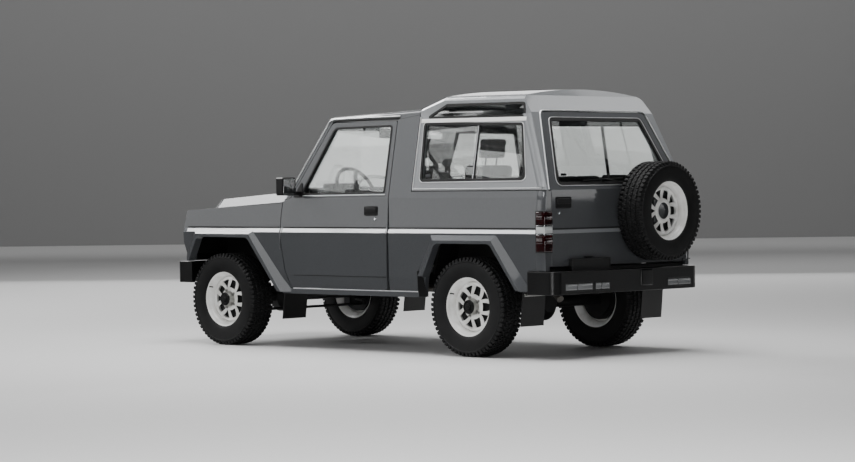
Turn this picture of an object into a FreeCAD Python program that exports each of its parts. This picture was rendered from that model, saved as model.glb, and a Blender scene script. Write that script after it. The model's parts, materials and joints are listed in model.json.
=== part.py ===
import FreeCAD, Part
import math
import operator
import os
import Sketcher
from FreeCAD import Placement, Rotation, Vector

# A two-door off-road 4x4 of the late nineteen-eighties: ladder frame, live axles on leaf springs,
# a raised hardtop with high side lights and a side-hinged tailgate that carries the spare wheel.
# x points to the car's left, y to the rear, z up. While a piece is made, y is its station: the
# distance behind the front axle. Its placement then moves the car so that the middle of its
# length is the origin, with the ground at z = 0.

doc = FreeCAD.newDocument("OffRoader")
sheet = doc.addObject("Spreadsheet::Sheet", "Sizes")

DRIVING_SIZES = {
    # wheels and tyres
    "wheelbase": 2530, "hub_height": 350, "front_wheel_x": 692, "rear_wheel_x": 686,
    "tyre_radius": 350, "tyre_width": 208, "lug_count": 36, "lug_depth": 9,
    "rim_flange_radius": 208, "rim_width": 172, "bead_seat_drop": 18, "well_depth": 22,
    "rim_wall": 6, "disc_recess": 56, "disc_wall": 9, "centre_bore": 50,
    "window_inner_radius": 92, "window_outer_radius": 143, "window_half_width": 27,
    "window_pairs": 5, "hub_cap_radius": 48, "hub_cap_reach": 6,
    "brake_radius": 132, "brake_width": 24, "drum_radius": 128, "drum_width": 70,
    # axles, springs and steering
    "kingpin_x": 616, "kingpin_radius": 12, "fork_height": 82, "fork_wall": 20, "arm_inset": 45,
    "steering_arm": 150, "tie_rod_height": 264, "tie_rod_radius": 10.5, "tie_eye_half": 11, "ball_radius": 7,
    "open_eye": 20.5, "axle_tube_radius": 40, "diff_radius": 118, "diff_half": 40,
    "diff_cover": 45, "front_diff_x": 150, "running_clearance": 0.05, "seat_clearance": 0.3,
    "moving_gap": 5, "spring_width": 60, "spring_pack": 48, "spring_half_length": 480,
    "spring_camber": 30, "spring_eye": 18, "main_leaf": 12,
    # ladder frame
    "rail_x": 375, "rail_width": 60, "rail_top": 570, "rail_depth": 90, "rail_drop": 40,
    "frame_front": -500, "frame_end_inset": 47, "member_length": 70, "tow_plate_half": 70,
    "tow_plate_wall": 12, "tow_hole_x": 41.5, "tow_hole_z": 20, "tow_hole_radius": 6.5,
    # body section
    "sill_bottom": 408, "door_bottom": 452, "crease_height": 545, "shoulder_low": 862,
    "shoulder_top": 893, "waist_height": 1113, "sill_x": 768, "crease_x": 777,
    "shoulder_x": 792, "upper_x": 779, "waist_x": 770, "side_lean": 0.19, "wall": 40,
    "pillar_wall": 52, "inner_half": 722, "shut_gap": 7, "flare_x": 813, "flare_lip": 22,
    "flare_spread": 105, "glass": 5,
    # stations and rises along the body
    "nose": -450, "wing_top_front": 1028, "wing_top_rise": 51, "cowl": 655,
    "firewall_station": 600, "door_front": 640, "door_length": 1115, "quarter_panel": 230,
    "rear_overhang": 732, "screen_foot_back": 35, "screen_run": 372, "screen_rise": 582,
    "roof_edge_drop": 7, "cab_rise": 61, "hardtop_rise": 49, "ramp_length": 210,
    "hardtop_seat": 52, "roof_crown": 45, "hardtop_crown": 72, "roof_wall": 32,
    "tailgate_lean": 226, "roof_rear_lean": 317, "tailgate_top_drop": 99,
    "tailgate_half_low": 712, "tailgate_half_base": 738, "tailgate_half_top": 557,
    "tailgate_bottom": 640, "floor_wall": 15, "wheel_box_half": 500, "wheel_box_rise": 280,
    # bonnet and nose
    "bonnet_half": 690, "bonnet_front": -420, "bonnet_rear": 605, "bonnet_wall": 28,
    "bonnet_pivot_height": 1070, "bulge_front": 1108, "bulge_rear": 1168, "cowl_recess": 1040,
    "hinge_pin_radius": 6, "door_pin_radius": 4.5, "grille_half": 390, "grille_low": 760,
    "grille_high": 968, "slat_pitch": 26, "headlamp_inner": 440, "headlamp_outer": 660,
    "headlamp_low": 768, "headlamp_high": 962,
    # bumpers, lamps, mirror and spare
    "bumper_half": 790, "bumper_front": -575, "bumper_corner": -512, "front_bumper_low": 471,
    "front_bumper_high": 632, "front_bumper_end": -357, "rear_bumper_reach": 87,
    "rear_bumper_length": 251, "rear_bumper_low": 447, "rear_bumper_high": 606,
    "tail_lamp_low": 736, "tail_lamp_high": 1020, "tail_lamp_length": 76, "mirror_offset": 72,
    "mirror_width": 140, "mirror_low": 1137, "mirror_high": 1270, "spare_x": -318,
    "spare_clearance": 49, "spare_gap": 6, "spare_mount_half": 80,
    "handle_inset": 101, "handle_length": 130, "handle_low": 985, "handle_high": 1056,
    "handle_depth": 16,
    # cabin
    "column_x": 350, "wheel_station": 1010, "steering_wheel_height": 1170, "column_tilt": 27,
    "column_length": 330, "column_radius": 32, "steering_wheel_radius": 195,
    "steering_wheel_grip": 14, "seat_front": 1120, "seat_x": 340, "seat_width": 500, "hoop_inset": 105,
    "hoop_radius": 24, "hoop_half": 600, "hoop_height": 1600, "bench_half": 480,
    # engine, driveline and underside
    "engine_width": 420, "engine_low": 500, "engine_high": 960, "engine_front": -130,
    "engine_rear": 470, "gearbox_end": 1130, "propshaft_radius": 30, "flange_radius": 46,
    "exhaust_radius": 26, "exhaust_x": 520, "silencer_radius": 72, "tank_inner": 425,
    "tank_outer": 670, "tank_depth": 130, "tank_length": 700, "flap_outer": 766,
    "flap_width": 236, "flap_wall": 8,
}
for row, (alias, size) in enumerate(DRIVING_SIZES.items(), start=1):
    sheet.set(f"A{row}", alias)
    sheet.set(f"B{row}", str(size))
    sheet.setAlias(f"B{row}", alias)
doc.recompute()


class Size(float):
    """A number worked out from the sheet that also keeps its formula."""

    def __new__(cls, value, formula):
        size = super().__new__(cls, value)
        size.formula = formula
        return size

    def __neg__(self):
        return Size(-float(self), f"(0 - {self.formula})")


def formula_of(number):
    return number.formula if isinstance(number, Size) else f"({float(number):.6f})"


def sized(sign, work):
    """An arithmetic operation on sizes, and the same with its two sides swapped."""
    def forward(first, second):
        formula = f"({formula_of(first)} {sign} {formula_of(second)})"
        return Size(work(float(first), float(second)), formula)

    return forward, lambda first, second: forward(second, first)


Size.__add__, Size.__radd__ = sized("+", operator.add)
Size.__sub__, Size.__rsub__ = sized("-", operator.sub)
Size.__mul__, Size.__rmul__ = sized("*", operator.mul)
Size.__truediv__, Size.__rtruediv__ = sized("/", operator.truediv)


class SizeSheet:
    """Reads a driving dimension by its name in the sheet."""

    def __getattr__(self, name):
        return Size(sheet.get(name), f"Sizes.{name}")


S = SizeSheet()
AXIS_X, AXIS_Y, AXIS_Z = Vector(1, 0, 0), Vector(0, 1, 0), Vector(0, 0, 1)

# Places that several pieces share, worked out from the driving sizes
REAR_FACE = S.wheelbase + S.rear_overhang
DOOR_REAR = S.door_front + S.door_length
HARDTOP_FRONT = DOOR_REAR + S.quarter_panel
WING_TOP_REAR = S.wing_top_front + S.wing_top_rise
SCREEN_BASE = S.cowl + S.screen_foot_back
SCREEN_TOP = SCREEN_BASE + S.screen_run
SCREEN_BASE_HEIGHT = S.waist_height + 2
SCREEN_TOP_HEIGHT = SCREEN_BASE_HEIGHT + S.screen_rise
ROOF_EDGE = SCREEN_TOP_HEIGHT - S.roof_edge_drop
CAB_REAR_HEIGHT = ROOF_EDGE + S.cab_rise
HARDTOP_EDGE = CAB_REAR_HEIGHT + S.hardtop_rise
HARDTOP_BASE = S.waist_height + S.hardtop_seat
RAMP_END = HARDTOP_FRONT + S.ramp_length
TAILGATE_TOP = REAR_FACE - S.tailgate_lean
TAILGATE_TOP_HEIGHT = HARDTOP_EDGE - S.tailgate_top_drop
ROOF_REAR = REAR_FACE - S.roof_rear_lean
FRAME_REAR = REAR_FACE - S.frame_end_inset
RAIL_LOW = S.rail_top - S.rail_depth
FLOOR_TOP = S.rail_top + S.floor_wall
BUMPER_REAR = REAR_FACE + S.rear_bumper_reach
BUMPER_END = BUMPER_REAR - S.rear_bumper_length
SPARE_HEIGHT = S.rear_bumper_high + S.spare_clearance + S.tyre_radius
HOOP = HARDTOP_FRONT - S.hoop_inset
CAR_REAR = REAR_FACE + S.spare_gap + S.tyre_width
MIDDLE = (S.bumper_front + CAR_REAR) / 2
TO_ORIGIN = Placement(Vector(0, -MIDDLE, 0), Rotation())
INSIDE, OUTSIDE = S.inner_half / 2, S.flare_x + 87
NODES = []


# Document helpers: objects whose sizes are formulas of the sheet
def bind(thing, **sizes):
    """Sets properties and ties each one to its formula."""
    for name, size in sizes.items():
        setattr(thing, name, float(size))
        if isinstance(size, Size):
            thing.setExpression(name, size.formula)
    return thing


def put_at(thing, x, station, z, turn=None):
    """Places an object, with each coordinate tied to its formula."""
    thing.Placement = Placement(Vector(x, station, z), turn or Rotation())
    for axis, size in zip("xyz", (x, station, z)):
        if isinstance(size, Size):
            thing.setExpression(f"Placement.Base.{axis}", size.formula)
    return thing


def node(label, thing, x=0, station=0, z=0, turn=None):
    """Names a finished sub-part and moves it into the car's frame."""
    thing.Label = label
    put_at(thing, x, station - MIDDLE, z, turn)
    NODES.append(thing)
    return thing


def shape_node(label, shape):
    """A sub-part whose shape is set here, for the forms that features don't fit."""
    thing = doc.addObject("Part::Feature", label)
    thing.Label = label
    thing.Shape = shape
    thing.Placement = TO_ORIGIN.multiply(shape.Placement)
    NODES.append(thing)
    return thing


def box(name, x0, x1, s0, s1, z0, z1):
    thing = bind(doc.addObject("Part::Box", name), Length=x1 - x0, Width=s1 - s0, Height=z1 - z0)
    return put_at(thing, x0, s0, z0)


def cylinder(name, radius, height, x, station, z, axis=AXIS_Z):
    thing = bind(doc.addObject("Part::Cylinder", name), Radius=radius, Height=height)
    return put_at(thing, x, station, z, Rotation(AXIS_Z, axis))


def cone(name, radius, end_radius, height, x, station, z, axis=AXIS_Z):
    thing = bind(doc.addObject("Part::Cone", name), Radius1=radius, Radius2=end_radius, Height=height)
    return put_at(thing, x, station, z, Rotation(AXIS_Z, axis))


def twin(thing):
    """The same object on the car's other side."""
    other = doc.addObject("Part::Mirroring", thing.Name + "Twin")
    other.Source = thing
    other.Normal = AXIS_X
    return other


def fused(name, things):
    whole = doc.addObject("Part::MultiFuse", name)
    whole.Shapes = things
    whole.Refine = True
    return whole


def cut(name, base, tool):
    rest = doc.addObject("Part::Cut", name)
    rest.Base, rest.Tool = base, tool
    return rest


def together(name, things):
    """Solids that stay apart in one object."""
    group = doc.addObject("Part::Compound", name)
    group.Links = things
    return group


def origin_feature(body, role):
    return next(feature for feature in body.Origin.OriginFeatures if feature.Role == role)


def sketch(body, role, corners, name, level=0):
    """A closed outline on one of the body's own planes, each corner tied to its formulas."""
    drawing = body.newObject("Sketcher::SketchObject", name)
    drawing.AttachmentSupport = [(origin_feature(body, role), "")]
    drawing.MapMode = "FlatFace"
    drawing.AttachmentOffset = Placement(Vector(0, 0, level), Rotation())
    if isinstance(level, Size):
        drawing.setExpression("AttachmentOffset.Base.z", level.formula)
    points = [Vector(corner[0], corner[1], 0) for corner in corners]
    for start, end in zip(points, points[1:] + points[:1]):
        drawing.addGeometry(Part.LineSegment(start, end), False)
    for i in range(len(points)):
        drawing.addConstraint(Sketcher.Constraint("Coincident", i, 2, (i + 1) % len(points), 1))
    for i, corner in enumerate(corners):
        for kind, size in zip(("DistanceX", "DistanceY"), corner):
            place = drawing.addConstraint(Sketcher.Constraint(kind, i, 1, float(size)))
            if isinstance(size, Size):
                drawing.setExpression(f"Constraints[{place}]", size.formula)
    return drawing


PLANE = {
    # role of the plane: how its sketch lies in space, its normal, and the sense of the pad
    "XY_Plane": (lambda a, b, level: Vector(a, b, level), AXIS_Z, 1),
    "XZ_Plane": (lambda a, b, level: Vector(a, level, b), AXIS_Y, -1),
    "YZ_Plane": (lambda a, b, level: Vector(level, a, b), AXIS_X, 1),
}
ROLE = {"x": "YZ_Plane", "y": "XZ_Plane", "z": "XY_Plane"}


def padded(name, normal, corners, start, end):
    """A body padded from one outline; a corner's third number rounds the edge that it leaves."""
    role = ROLE[normal]
    to_space, along, sense = PLANE[role]
    body = doc.addObject("PartDesign::Body", name)
    pad = body.newObject("PartDesign::Pad", name + "Pad")
    pad.Profile = sketch(body, role, corners, name + "Outline", start * sense)
    pad.Reversed = sense < 0
    bind(pad, Length=end - start)
    body.Tip = last = pad
    for radius in sorted({corner[2] for corner in corners if len(corner) > 2}):
        doc.recompute()
        places = [to_space(c[0], c[1], start) for c in corners if c[2:] == (radius,)]
        edges = [
            f"Edge{i}" for i, edge in enumerate(last.Shape.Edges, start=1)
            if isinstance(edge.Curve, Part.Line) and abs(edge.Curve.Direction.dot(along)) > 0.99
            and any(vertex.Point.isEqual(place, 0.01) for vertex in edge.Vertexes for place in places)
        ]
        rounding = body.newObject("PartDesign::Fillet", f"{name}Round{int(radius)}")
        rounding.Base = (last, edges)
        bind(rounding, Radius=radius)
        body.Tip = last = rounding
    return body


def revolved(name, corners):
    """A body turned about the x axis from an outline of x and radius."""
    body = doc.addObject("PartDesign::Body", name)
    turned = body.newObject("PartDesign::Revolution", name + "Turn")
    turned.Profile = sketch(body, "XZ_Plane", corners, name + "Section")
    turned.ReferenceAxis = (origin_feature(body, "X_Axis"), [""])
    turned.Angle = 360
    body.Tip = turned
    return body


# Shape helpers for the panels that features do not fit
def on_plane(normal, level):
    """Turns two coordinates into a point on the plane square to x, y or z at that level."""
    return {
        "x": lambda a, b: Vector(level, a, b),
        "y": lambda a, b: Vector(a, level, b),
        "z": lambda a, b: Vector(a, b, level),
    }[normal]


def outline(corners, normal, level):
    """A closed wire through the corners; a third number rounds that corner."""
    place = on_plane(normal, level)
    points = [Vector(c[0], c[1], 0) for c in corners]
    radii = [c[2] if len(c) > 2 else 0 for c in corners]
    edges, ends = [], []
    for i, here in enumerate(points):
        before, after = points[i - 1], points[(i + 1) % len(points)]
        if not radii[i]:
            ends.append((here, here, None))
            continue
        back, ahead = (before - here).normalize(), (after - here).normalize()
        half = back.getAngle(ahead) / 2
        reach = radii[i] / math.tan(half)
        middle = here + (back + ahead).normalize() * (radii[i] / math.sin(half) - radii[i])
        ends.append((here + back * reach, here + ahead * reach, middle))
    for i, (start, end, middle) in enumerate(ends):
        if middle is not None:
            edges.append(Part.Arc(*(place(p.x, p.y) for p in (start, middle, end))).toShape())
        nxt = ends[(i + 1) % len(ends)][0]
        if (nxt - end).Length > 1e-6:
            edges.append(Part.LineSegment(place(end.x, end.y), place(nxt.x, nxt.y)).toShape())
    return Part.Wire(edges)


def prism(corners, normal, start, end):
    """The outline pushed along its normal from start to end."""
    along = {"x": AXIS_X, "y": AXIS_Y, "z": AXIS_Z}[normal]
    return Part.Face(outline(corners, normal, start)).extrude(along * (end - start))


def block(x0, x1, s0, s1, z0, z1):
    return Part.makeBox(x1 - x0, s1 - s0, z1 - z0, Vector(x0, s0, z0))


def rod(start, end, radius):
    """A round bar between two points."""
    return Part.makeCylinder(radius, (end - start).Length, start, end - start)


def fuse(shapes):
    whole = shapes[0].multiFuse(shapes[1:])
    return whole.removeSplitter()


def mirrored(shape):
    return shape.mirror(Vector(0, 0, 0), AXIS_X)


def pair(shape):
    return Part.Compound([shape, mirrored(shape)])


# The side wall's section, from the sill to the roof edge
def side_section():
    """Outer x and height of each corner of the body side."""
    roof_x = S.waist_x - S.side_lean * (ROOF_EDGE + 200 - S.waist_height)
    return [
        (S.sill_x, S.sill_bottom), (S.sill_x, S.door_bottom), (S.crease_x, S.crease_height),
        (S.shoulder_x, S.shoulder_low), (S.upper_x, S.shoulder_top),
        (S.waist_x, S.waist_height), (roof_x, ROOF_EDGE + 200),
    ]


def side_x(height):
    """Outer x of the body side at a height."""
    corners = side_section()
    for (x0, z0), (x1, z1) in zip(corners, corners[1:]):
        if z0 <= height <= z1:
            return x0 + (x1 - x0) * (height - z0) / (z1 - z0)
    return corners[-1][0]


def side_wall(start, end, inset=0, thickness=None):
    """The left side wall between two stations, inset from the outer skin."""
    thickness = thickness or S.wall
    outer = [(x - inset, z) for x, z in side_section()]
    inner = [(x - thickness, z) for x, z in reversed(outer)]
    return prism(outer + inner, "y", start, end)


def side_panel(corners, inset=0, thickness=None):
    """The part of the left side wall inside an outline of stations and heights."""
    stations = [c[0] for c in corners]
    wall = side_wall(min(stations) - 10, max(stations) + 10, inset, thickness)
    return wall.common(prism(corners, "x", INSIDE, OUTSIDE))


# Stations and heights that panels share
def door_front_edge(offset):
    """The curved front shut line of the door, moved rearwards by an offset."""
    low = S.door_bottom
    return [
        (S.cowl + offset + 5, WING_TOP_REAR + 12), (S.door_front + offset, 960, 60),
        (S.door_front + offset, 840, 200), (S.door_front + 42 + offset, 580, 120),
        (S.door_front + 100 + offset, low),
    ]


def screen_line(offset, height):
    """Station of the windscreen's line at a height, moved rearwards by an offset."""
    rise = (SCREEN_TOP - SCREEN_BASE) / (SCREEN_TOP_HEIGHT - SCREEN_BASE_HEIGHT)
    return SCREEN_BASE + rise * (height - SCREEN_BASE_HEIGHT) + offset


FRONT_ARCH = [
    (-372, 300), (-372, 560), (-357, 666), (-268, 826, 46), (295, 822, 60), (640, 404), (690, 300),
]
REAR_ARCH = [
    (-462, 300), (-400, 560), (-285, 792, 46), (238, 792, 60), (488, 462), (560, 300),
]


def arch(corners, axle):
    return [(c[0] + axle, *c[1:]) for c in corners]


def arch_flare(corners, axle, low):
    """The flare round an arch: a skirt that grows out of the side to a narrow lip."""
    top = max(c[1] for c in corners)
    first, last = corners[1], corners[-2]
    spread, lip = S.flare_spread, S.flare_lip
    near = [(c[0], c[1]) for c in corners[1:-1]]

    def grown(by, rise):
        left = [(s - by, z) for s, z in near[:2]]
        left.append((near[-3][0] - by * 0.8, top + rise))
        right = [(near[-2][0] + by * 0.8, top + rise), (near[-1][0] + by, near[-1][1])]
        return [(s + axle, max(z, low)) for s, z in left + right]

    base = outline(grown(spread, S.shoulder_top - top - 2), "x", S.shoulder_x - 24)
    edge = outline(grown(lip, lip), "x", S.flare_x)
    skirt = Part.makeLoft([base, edge], True, True)
    return skirt


# Body sides
def wing():
    """The left front wing: side, top ledge, nose return and arch flare."""
    gap = S.shut_gap
    rear = [(s, z, *r) for s, z, *r in door_front_edge(-gap)]
    corners = [
        (S.nose + 55, 640), (S.nose + 4, 780, 60), (S.nose, 900, 80),
        (S.nose + 28, S.wing_top_front), (S.cowl - gap, WING_TOP_REAR), *rear,
        (S.door_front + 105 - gap, S.sill_bottom), (FRONT_ARCH[-2][0] + 10, S.sill_bottom),
        (400, 640), (-360, 640),
    ]
    side = side_panel(corners)
    top = [
        (S.nose + 28, S.wing_top_front - 16), (S.nose + 28, S.wing_top_front),
        (S.cowl - gap, WING_TOP_REAR), (S.cowl - gap, WING_TOP_REAR - 16),
    ]
    ledge = prism(top, "x", S.bonnet_half + gap, side_x(WING_TOP_REAR) - 6)
    skin = side.fuse([ledge, arch_flare(FRONT_ARCH, 0, 420)])
    skin = skin.cut(prism(FRONT_ARCH, "x", INSIDE, OUTSIDE))
    skin = skin.cut(block(INSIDE, OUTSIDE, S.nose - 200, S.door_front + 260, 0, S.sill_bottom))
    skin = skin.cut(block(INSIDE, OUTSIDE, S.nose - 200, S.nose + 150, 0, S.front_bumper_high + 6))
    ahead = [(S.nose - 300, 300), (S.nose + 55, 640), (S.nose + 4, 780), (S.nose, 900),
             (S.nose + 28, S.wing_top_front), (S.nose + 28, S.waist_height), (S.nose - 300, S.waist_height)]
    skin = skin.cut(prism(ahead, "x", INSIDE, OUTSIDE))
    behind_door = [corner[:2] for corner in door_front_edge(-gap)]
    behind_door += [(S.door_front + 105 - gap, 300), (DOOR_REAR, 300), (DOOR_REAR, S.waist_height)]
    skin = skin.cut(prism(behind_door, "x", INSIDE, OUTSIDE))
    return fuse([skin] + door_pins())


def body_side():
    """The left body side behind the door: B panel, sill, quarter and rear corner."""
    gap = S.shut_gap
    rear_edge = DOOR_REAR + gap
    header = ROOF_EDGE - 14
    corners = [
        (rear_edge, S.door_bottom), (rear_edge + 12, 893), (rear_edge, S.waist_height),
        (rear_edge, header), (HARDTOP_FRONT - gap, header + 30),
        (HARDTOP_FRONT - gap, HARDTOP_BASE - gap), (REAR_FACE, HARDTOP_BASE - gap),
        (REAR_FACE, 470), (BUMPER_END, 467), (S.wheelbase + 488, 462), (S.wheelbase - 394, 420),
        (S.wheelbase - 480, S.sill_bottom),
        (rear_edge, S.sill_bottom),
    ]
    side = side_panel(corners)
    corner_post = block(S.tailgate_half_low + gap, S.sill_x, REAR_FACE - S.wall, REAR_FACE,
                        S.tailgate_bottom, HARDTOP_BASE - gap)
    sill = prism([(S.sill_x - 90, S.sill_bottom), (S.sill_x + 10, S.sill_bottom),
                  (S.sill_x + 10, S.door_bottom - 8), (S.sill_x - 90, S.door_bottom - 8)],
                 "y", S.door_front + 105, S.wheelbase - 470)
    skin = side.fuse([corner_post, arch_flare(REAR_ARCH, S.wheelbase, 470), sill])
    skin = skin.cut(prism(arch(REAR_ARCH, S.wheelbase), "x", INSIDE, OUTSIDE))
    skin = skin.cut(block(S.bumper_half - 90, OUTSIDE, BUMPER_END, REAR_FACE + 10,
                          300, S.rear_bumper_high + 4))
    lamp = block(S.tailgate_half_low + gap, OUTSIDE, REAR_FACE - S.tail_lamp_length, REAR_FACE + 8,
                 S.tail_lamp_low, S.tail_lamp_high)
    return skin.cut(lamp).removeSplitter()


def door_outline():
    """The door's outline: lower panel and window frame."""
    header = ROOF_EDGE - 22
    front = door_front_edge(0)
    return [
        *front, (DOOR_REAR - 18, S.door_bottom, 20), (DOOR_REAR, 880, 200),
        (DOOR_REAR, header, 16),
        (screen_line(52, header), header, 60), (screen_line(52, S.waist_height + 6), S.waist_height + 6),
    ]


def door_window():
    """The opening in the door's window frame."""
    return [
        (screen_line(130, S.waist_height + 47), S.waist_height + 29, 14),
        (DOOR_REAR - 46, S.waist_height + 39, 14),
        (DOOR_REAR - 46, ROOF_EDGE - 58, 22),
        (screen_line(112, ROOF_EDGE - 66), ROOF_EDGE - 64, 50),
    ]


def door():
    skin = side_panel(door_outline())
    rear = DOOR_REAR - S.handle_inset
    front, low, high = rear - S.handle_length, S.handle_low, S.handle_high
    recess = prism([(front, low, 12), (rear, low, 12), (rear, high, 12), (front, high, 12)],
                   "x", side_x(high) - S.handle_depth, OUTSIDE)
    return skin.cut([prism(door_window(), "x", INSIDE, OUTSIDE), recess] + door_pins(0.3))


def door_glass():
    return side_panel(door_window(), inset=S.wall / 2, thickness=S.glass)


def mirror():
    """The left door mirror: housing on a short arm, with the glass facing rearwards."""
    low, high, wide = S.mirror_low, S.mirror_high, S.mirror_width
    base, near = screen_line(100, low + 3), side_x(low + 3) + S.mirror_offset
    shell = prism([(near, low, 14), (near + wide, low, 14), (near + wide, high, 14),
                   (near + 10, high, 14)], "y", base, base + 66)
    arm = block(side_x(low + 28) - 4, near + 20, base + 10, base + 50, low + 4, low + 28)
    return shell.fuse(arm).cut(door()).removeSplitter()


# Floor and cab structure
def floor_tub():
    """Floor, firewall, tunnel and the boxes over the rear wheels, welded as one."""
    gap = 3
    half = S.inner_half
    floor = block(-half, half, S.firewall_station, REAR_FACE - S.wall - gap,
                  S.rail_top, FLOOR_TOP)
    wall = block(-half, half, S.firewall_station - S.floor_wall, S.firewall_station, S.rail_top, S.cowl_recess)
    low, high, axle, sheet_wall = S.rail_top, S.rail_top + S.wheel_box_rise, S.wheelbase, S.floor_wall
    outer = prism([(axle - 390, low), (axle - 305, high), (axle + 270, high), (axle + 360, low)],
                  "x", S.wheel_box_half, half)
    inner = prism([(axle - 370, low - 5), (axle - 292, high - sheet_wall), (axle + 258, high - sheet_wall),
                   (axle + 340, low - 5)], "x", S.wheel_box_half + sheet_wall, half + 5)
    tub = floor.fuse([wall, outer, mirrored(outer)])
    return tub.cut([inner, mirrored(inner)]).removeSplitter()


def windscreen_frame():
    """A pillars, header and cowl, which carry the windscreen."""
    top, low = ROOF_EDGE - 14, S.waist_height - 30
    foot = S.waist_height + 6
    pillar = side_panel([
        (S.cowl + 9, foot - 19), (screen_line(46, foot + 7), foot + 7), (screen_line(46, top), top),
        (screen_line(0, top), top), (screen_line(0, SCREEN_BASE_HEIGHT), SCREEN_BASE_HEIGHT),
    ], thickness=S.pillar_wall)
    pillar = pillar.fuse(block(S.inner_half - 40, S.inner_half, SCREEN_BASE, SCREEN_BASE + 50,
                               low - 20, foot + 30))
    half_top = side_x(top) - S.pillar_wall + 8
    header_front = screen_line(0, top)
    header = prism([(header_front - 28, top - 45), (header_front, top), (header_front + 60, top),
                    (header_front + 32, top - 45)], "x", -half_top, half_top)
    scuttle = block(-S.inner_half, S.inner_half, S.cowl + 16, S.cowl + 80, S.cowl_recess, low + 4)
    recess = block(-S.bonnet_half, S.bonnet_half, S.firewall_station - 15, S.cowl + 20,
                   S.cowl_recess, S.cowl_recess + 8)
    pin_line = S.bonnet_rear + 7
    ears = [block(x, x + 14, pin_line - 9, pin_line + 30, S.cowl_recess, S.bonnet_pivot_height + 9)
            for end in bonnet_hinges() for x in (end - 20, end + 46)]
    wall = block(-S.inner_half, S.inner_half, S.cowl + 16, S.cowl + 31, S.rail_top + 30, S.cowl_recess + 10)
    frame = fuse([pillar, mirrored(pillar), header, scuttle, recess, wall, bonnet_pin()] + ears)
    return frame.cut(steering_column())


def windscreen_glass():
    low, top = S.waist_height - 20, ROOF_EDGE - 62
    glass = prism([(screen_line(14, low), low), (screen_line(14, top), top),
                   (screen_line(14 + S.glass, top), top), (screen_line(14 + S.glass, low), low)],
                  "x", -OUTSIDE, OUTSIDE)
    half_low, half_top = side_x(low) - S.pillar_wall, side_x(top) - S.pillar_wall
    keep = prism([(-half_low, low), (half_low, low), (half_top, top), (-half_top, top)],
                 "y", 0, DOOR_REAR)
    return glass.common(keep)


def roof_section(station, edge_height, crown_height, inset):
    """A closed section across the roof: side, rounded edge and crown, down to a level base."""
    lean, low = S.side_lean, HARDTOP_BASE - 200
    x_low = S.waist_x - lean * (low - S.waist_height) - inset
    x_edge = S.waist_x - lean * (edge_height - S.waist_height) - inset
    edge, crown = edge_height - inset * 0.3, crown_height - inset
    shoulder = Vector(x_edge - 70, station, edge + (crown - edge) * 0.45)
    knee = Vector(x_edge - 22, station, edge + (crown - edge) * 0.26)
    place = lambda x, z: Vector(x, station, z)
    left = [Part.LineSegment(place(x_low, low), place(x_edge, edge)).toShape(),
            Part.Arc(place(x_edge, edge), knee, shoulder).toShape()]
    top = Part.Arc(shoulder, place(0, crown), place(-shoulder.x, shoulder.z)).toShape()
    right = [Part.Arc(place(-shoulder.x, shoulder.z), place(-knee.x, knee.z), place(-x_edge, edge)).toShape(),
             Part.LineSegment(place(-x_edge, edge), place(-x_low, low)).toShape()]
    base = Part.LineSegment(place(-x_low, low), place(x_low, low)).toShape()
    return Part.Wire(left + [top] + right + [base])


def roof_solid(inset):
    """The hardtop's outer form, or its hollow when inset."""
    cab, full = CAB_REAR_HEIGHT, HARDTOP_EDGE
    slope = (full - cab + 20) / (RAMP_END - HARDTOP_FRONT)
    early = 60 if inset else 0
    stations = [(HARDTOP_FRONT - early, cab - 20 - slope * early, cab + S.roof_crown - slope * early),
                (RAMP_END + inset * 0.3, full, full + S.hardtop_crown),
                (REAR_FACE + 40, full - 8, full + S.hardtop_crown - 6)]
    form = Part.makeLoft([roof_section(s, e, c, inset) for s, e, c in stations], True, True)
    rear = [
        (HARDTOP_FRONT - 100, S.shoulder_low), (REAR_FACE - inset, S.shoulder_low),
        (REAR_FACE - inset, HARDTOP_BASE),
        (TAILGATE_TOP - inset, TAILGATE_TOP_HEIGHT),
        (ROOF_REAR - inset, HARDTOP_EDGE + 20 - inset * 0.5),
        (ROOF_REAR - 60 - inset, full + 150), (HARDTOP_FRONT - 100, full + 150),
    ]
    return form.common(prism(rear, "x", -OUTSIDE, OUTSIDE))


def tailgate_frame(gap):
    """The tailgate's outline seen from behind, grown by a gap."""
    return [
        (S.tailgate_half_low + gap, S.tailgate_bottom - gap),
        (S.tailgate_half_low + gap, HARDTOP_BASE - 25),
        (S.tailgate_half_base - 14 + gap, HARDTOP_BASE + 20),
        (S.tailgate_half_top + gap, TAILGATE_TOP_HEIGHT + gap, 45),
    ]


def full_width(half):
    return half + [(-c[0], *c[1:]) for c in reversed(half)]


SIDE_WINDOW = [
    (HARDTOP_FRONT + 77, HARDTOP_BASE + 71, 26), (REAR_FACE - 216, HARDTOP_BASE + 75, 26),
    (REAR_FACE - 294, HARDTOP_EDGE - 182, 22), (HARDTOP_FRONT + 55, HARDTOP_EDGE - 160, 22),
]
SKYLIGHT = [
    (HARDTOP_FRONT + 77, HARDTOP_EDGE - 118, 8), (REAR_FACE - 277, HARDTOP_EDGE - 125, 12),
    (REAR_FACE - 298, HARDTOP_EDGE - 36, 14), (HARDTOP_FRONT + 250, HARDTOP_EDGE - 32, 30),
]


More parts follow.
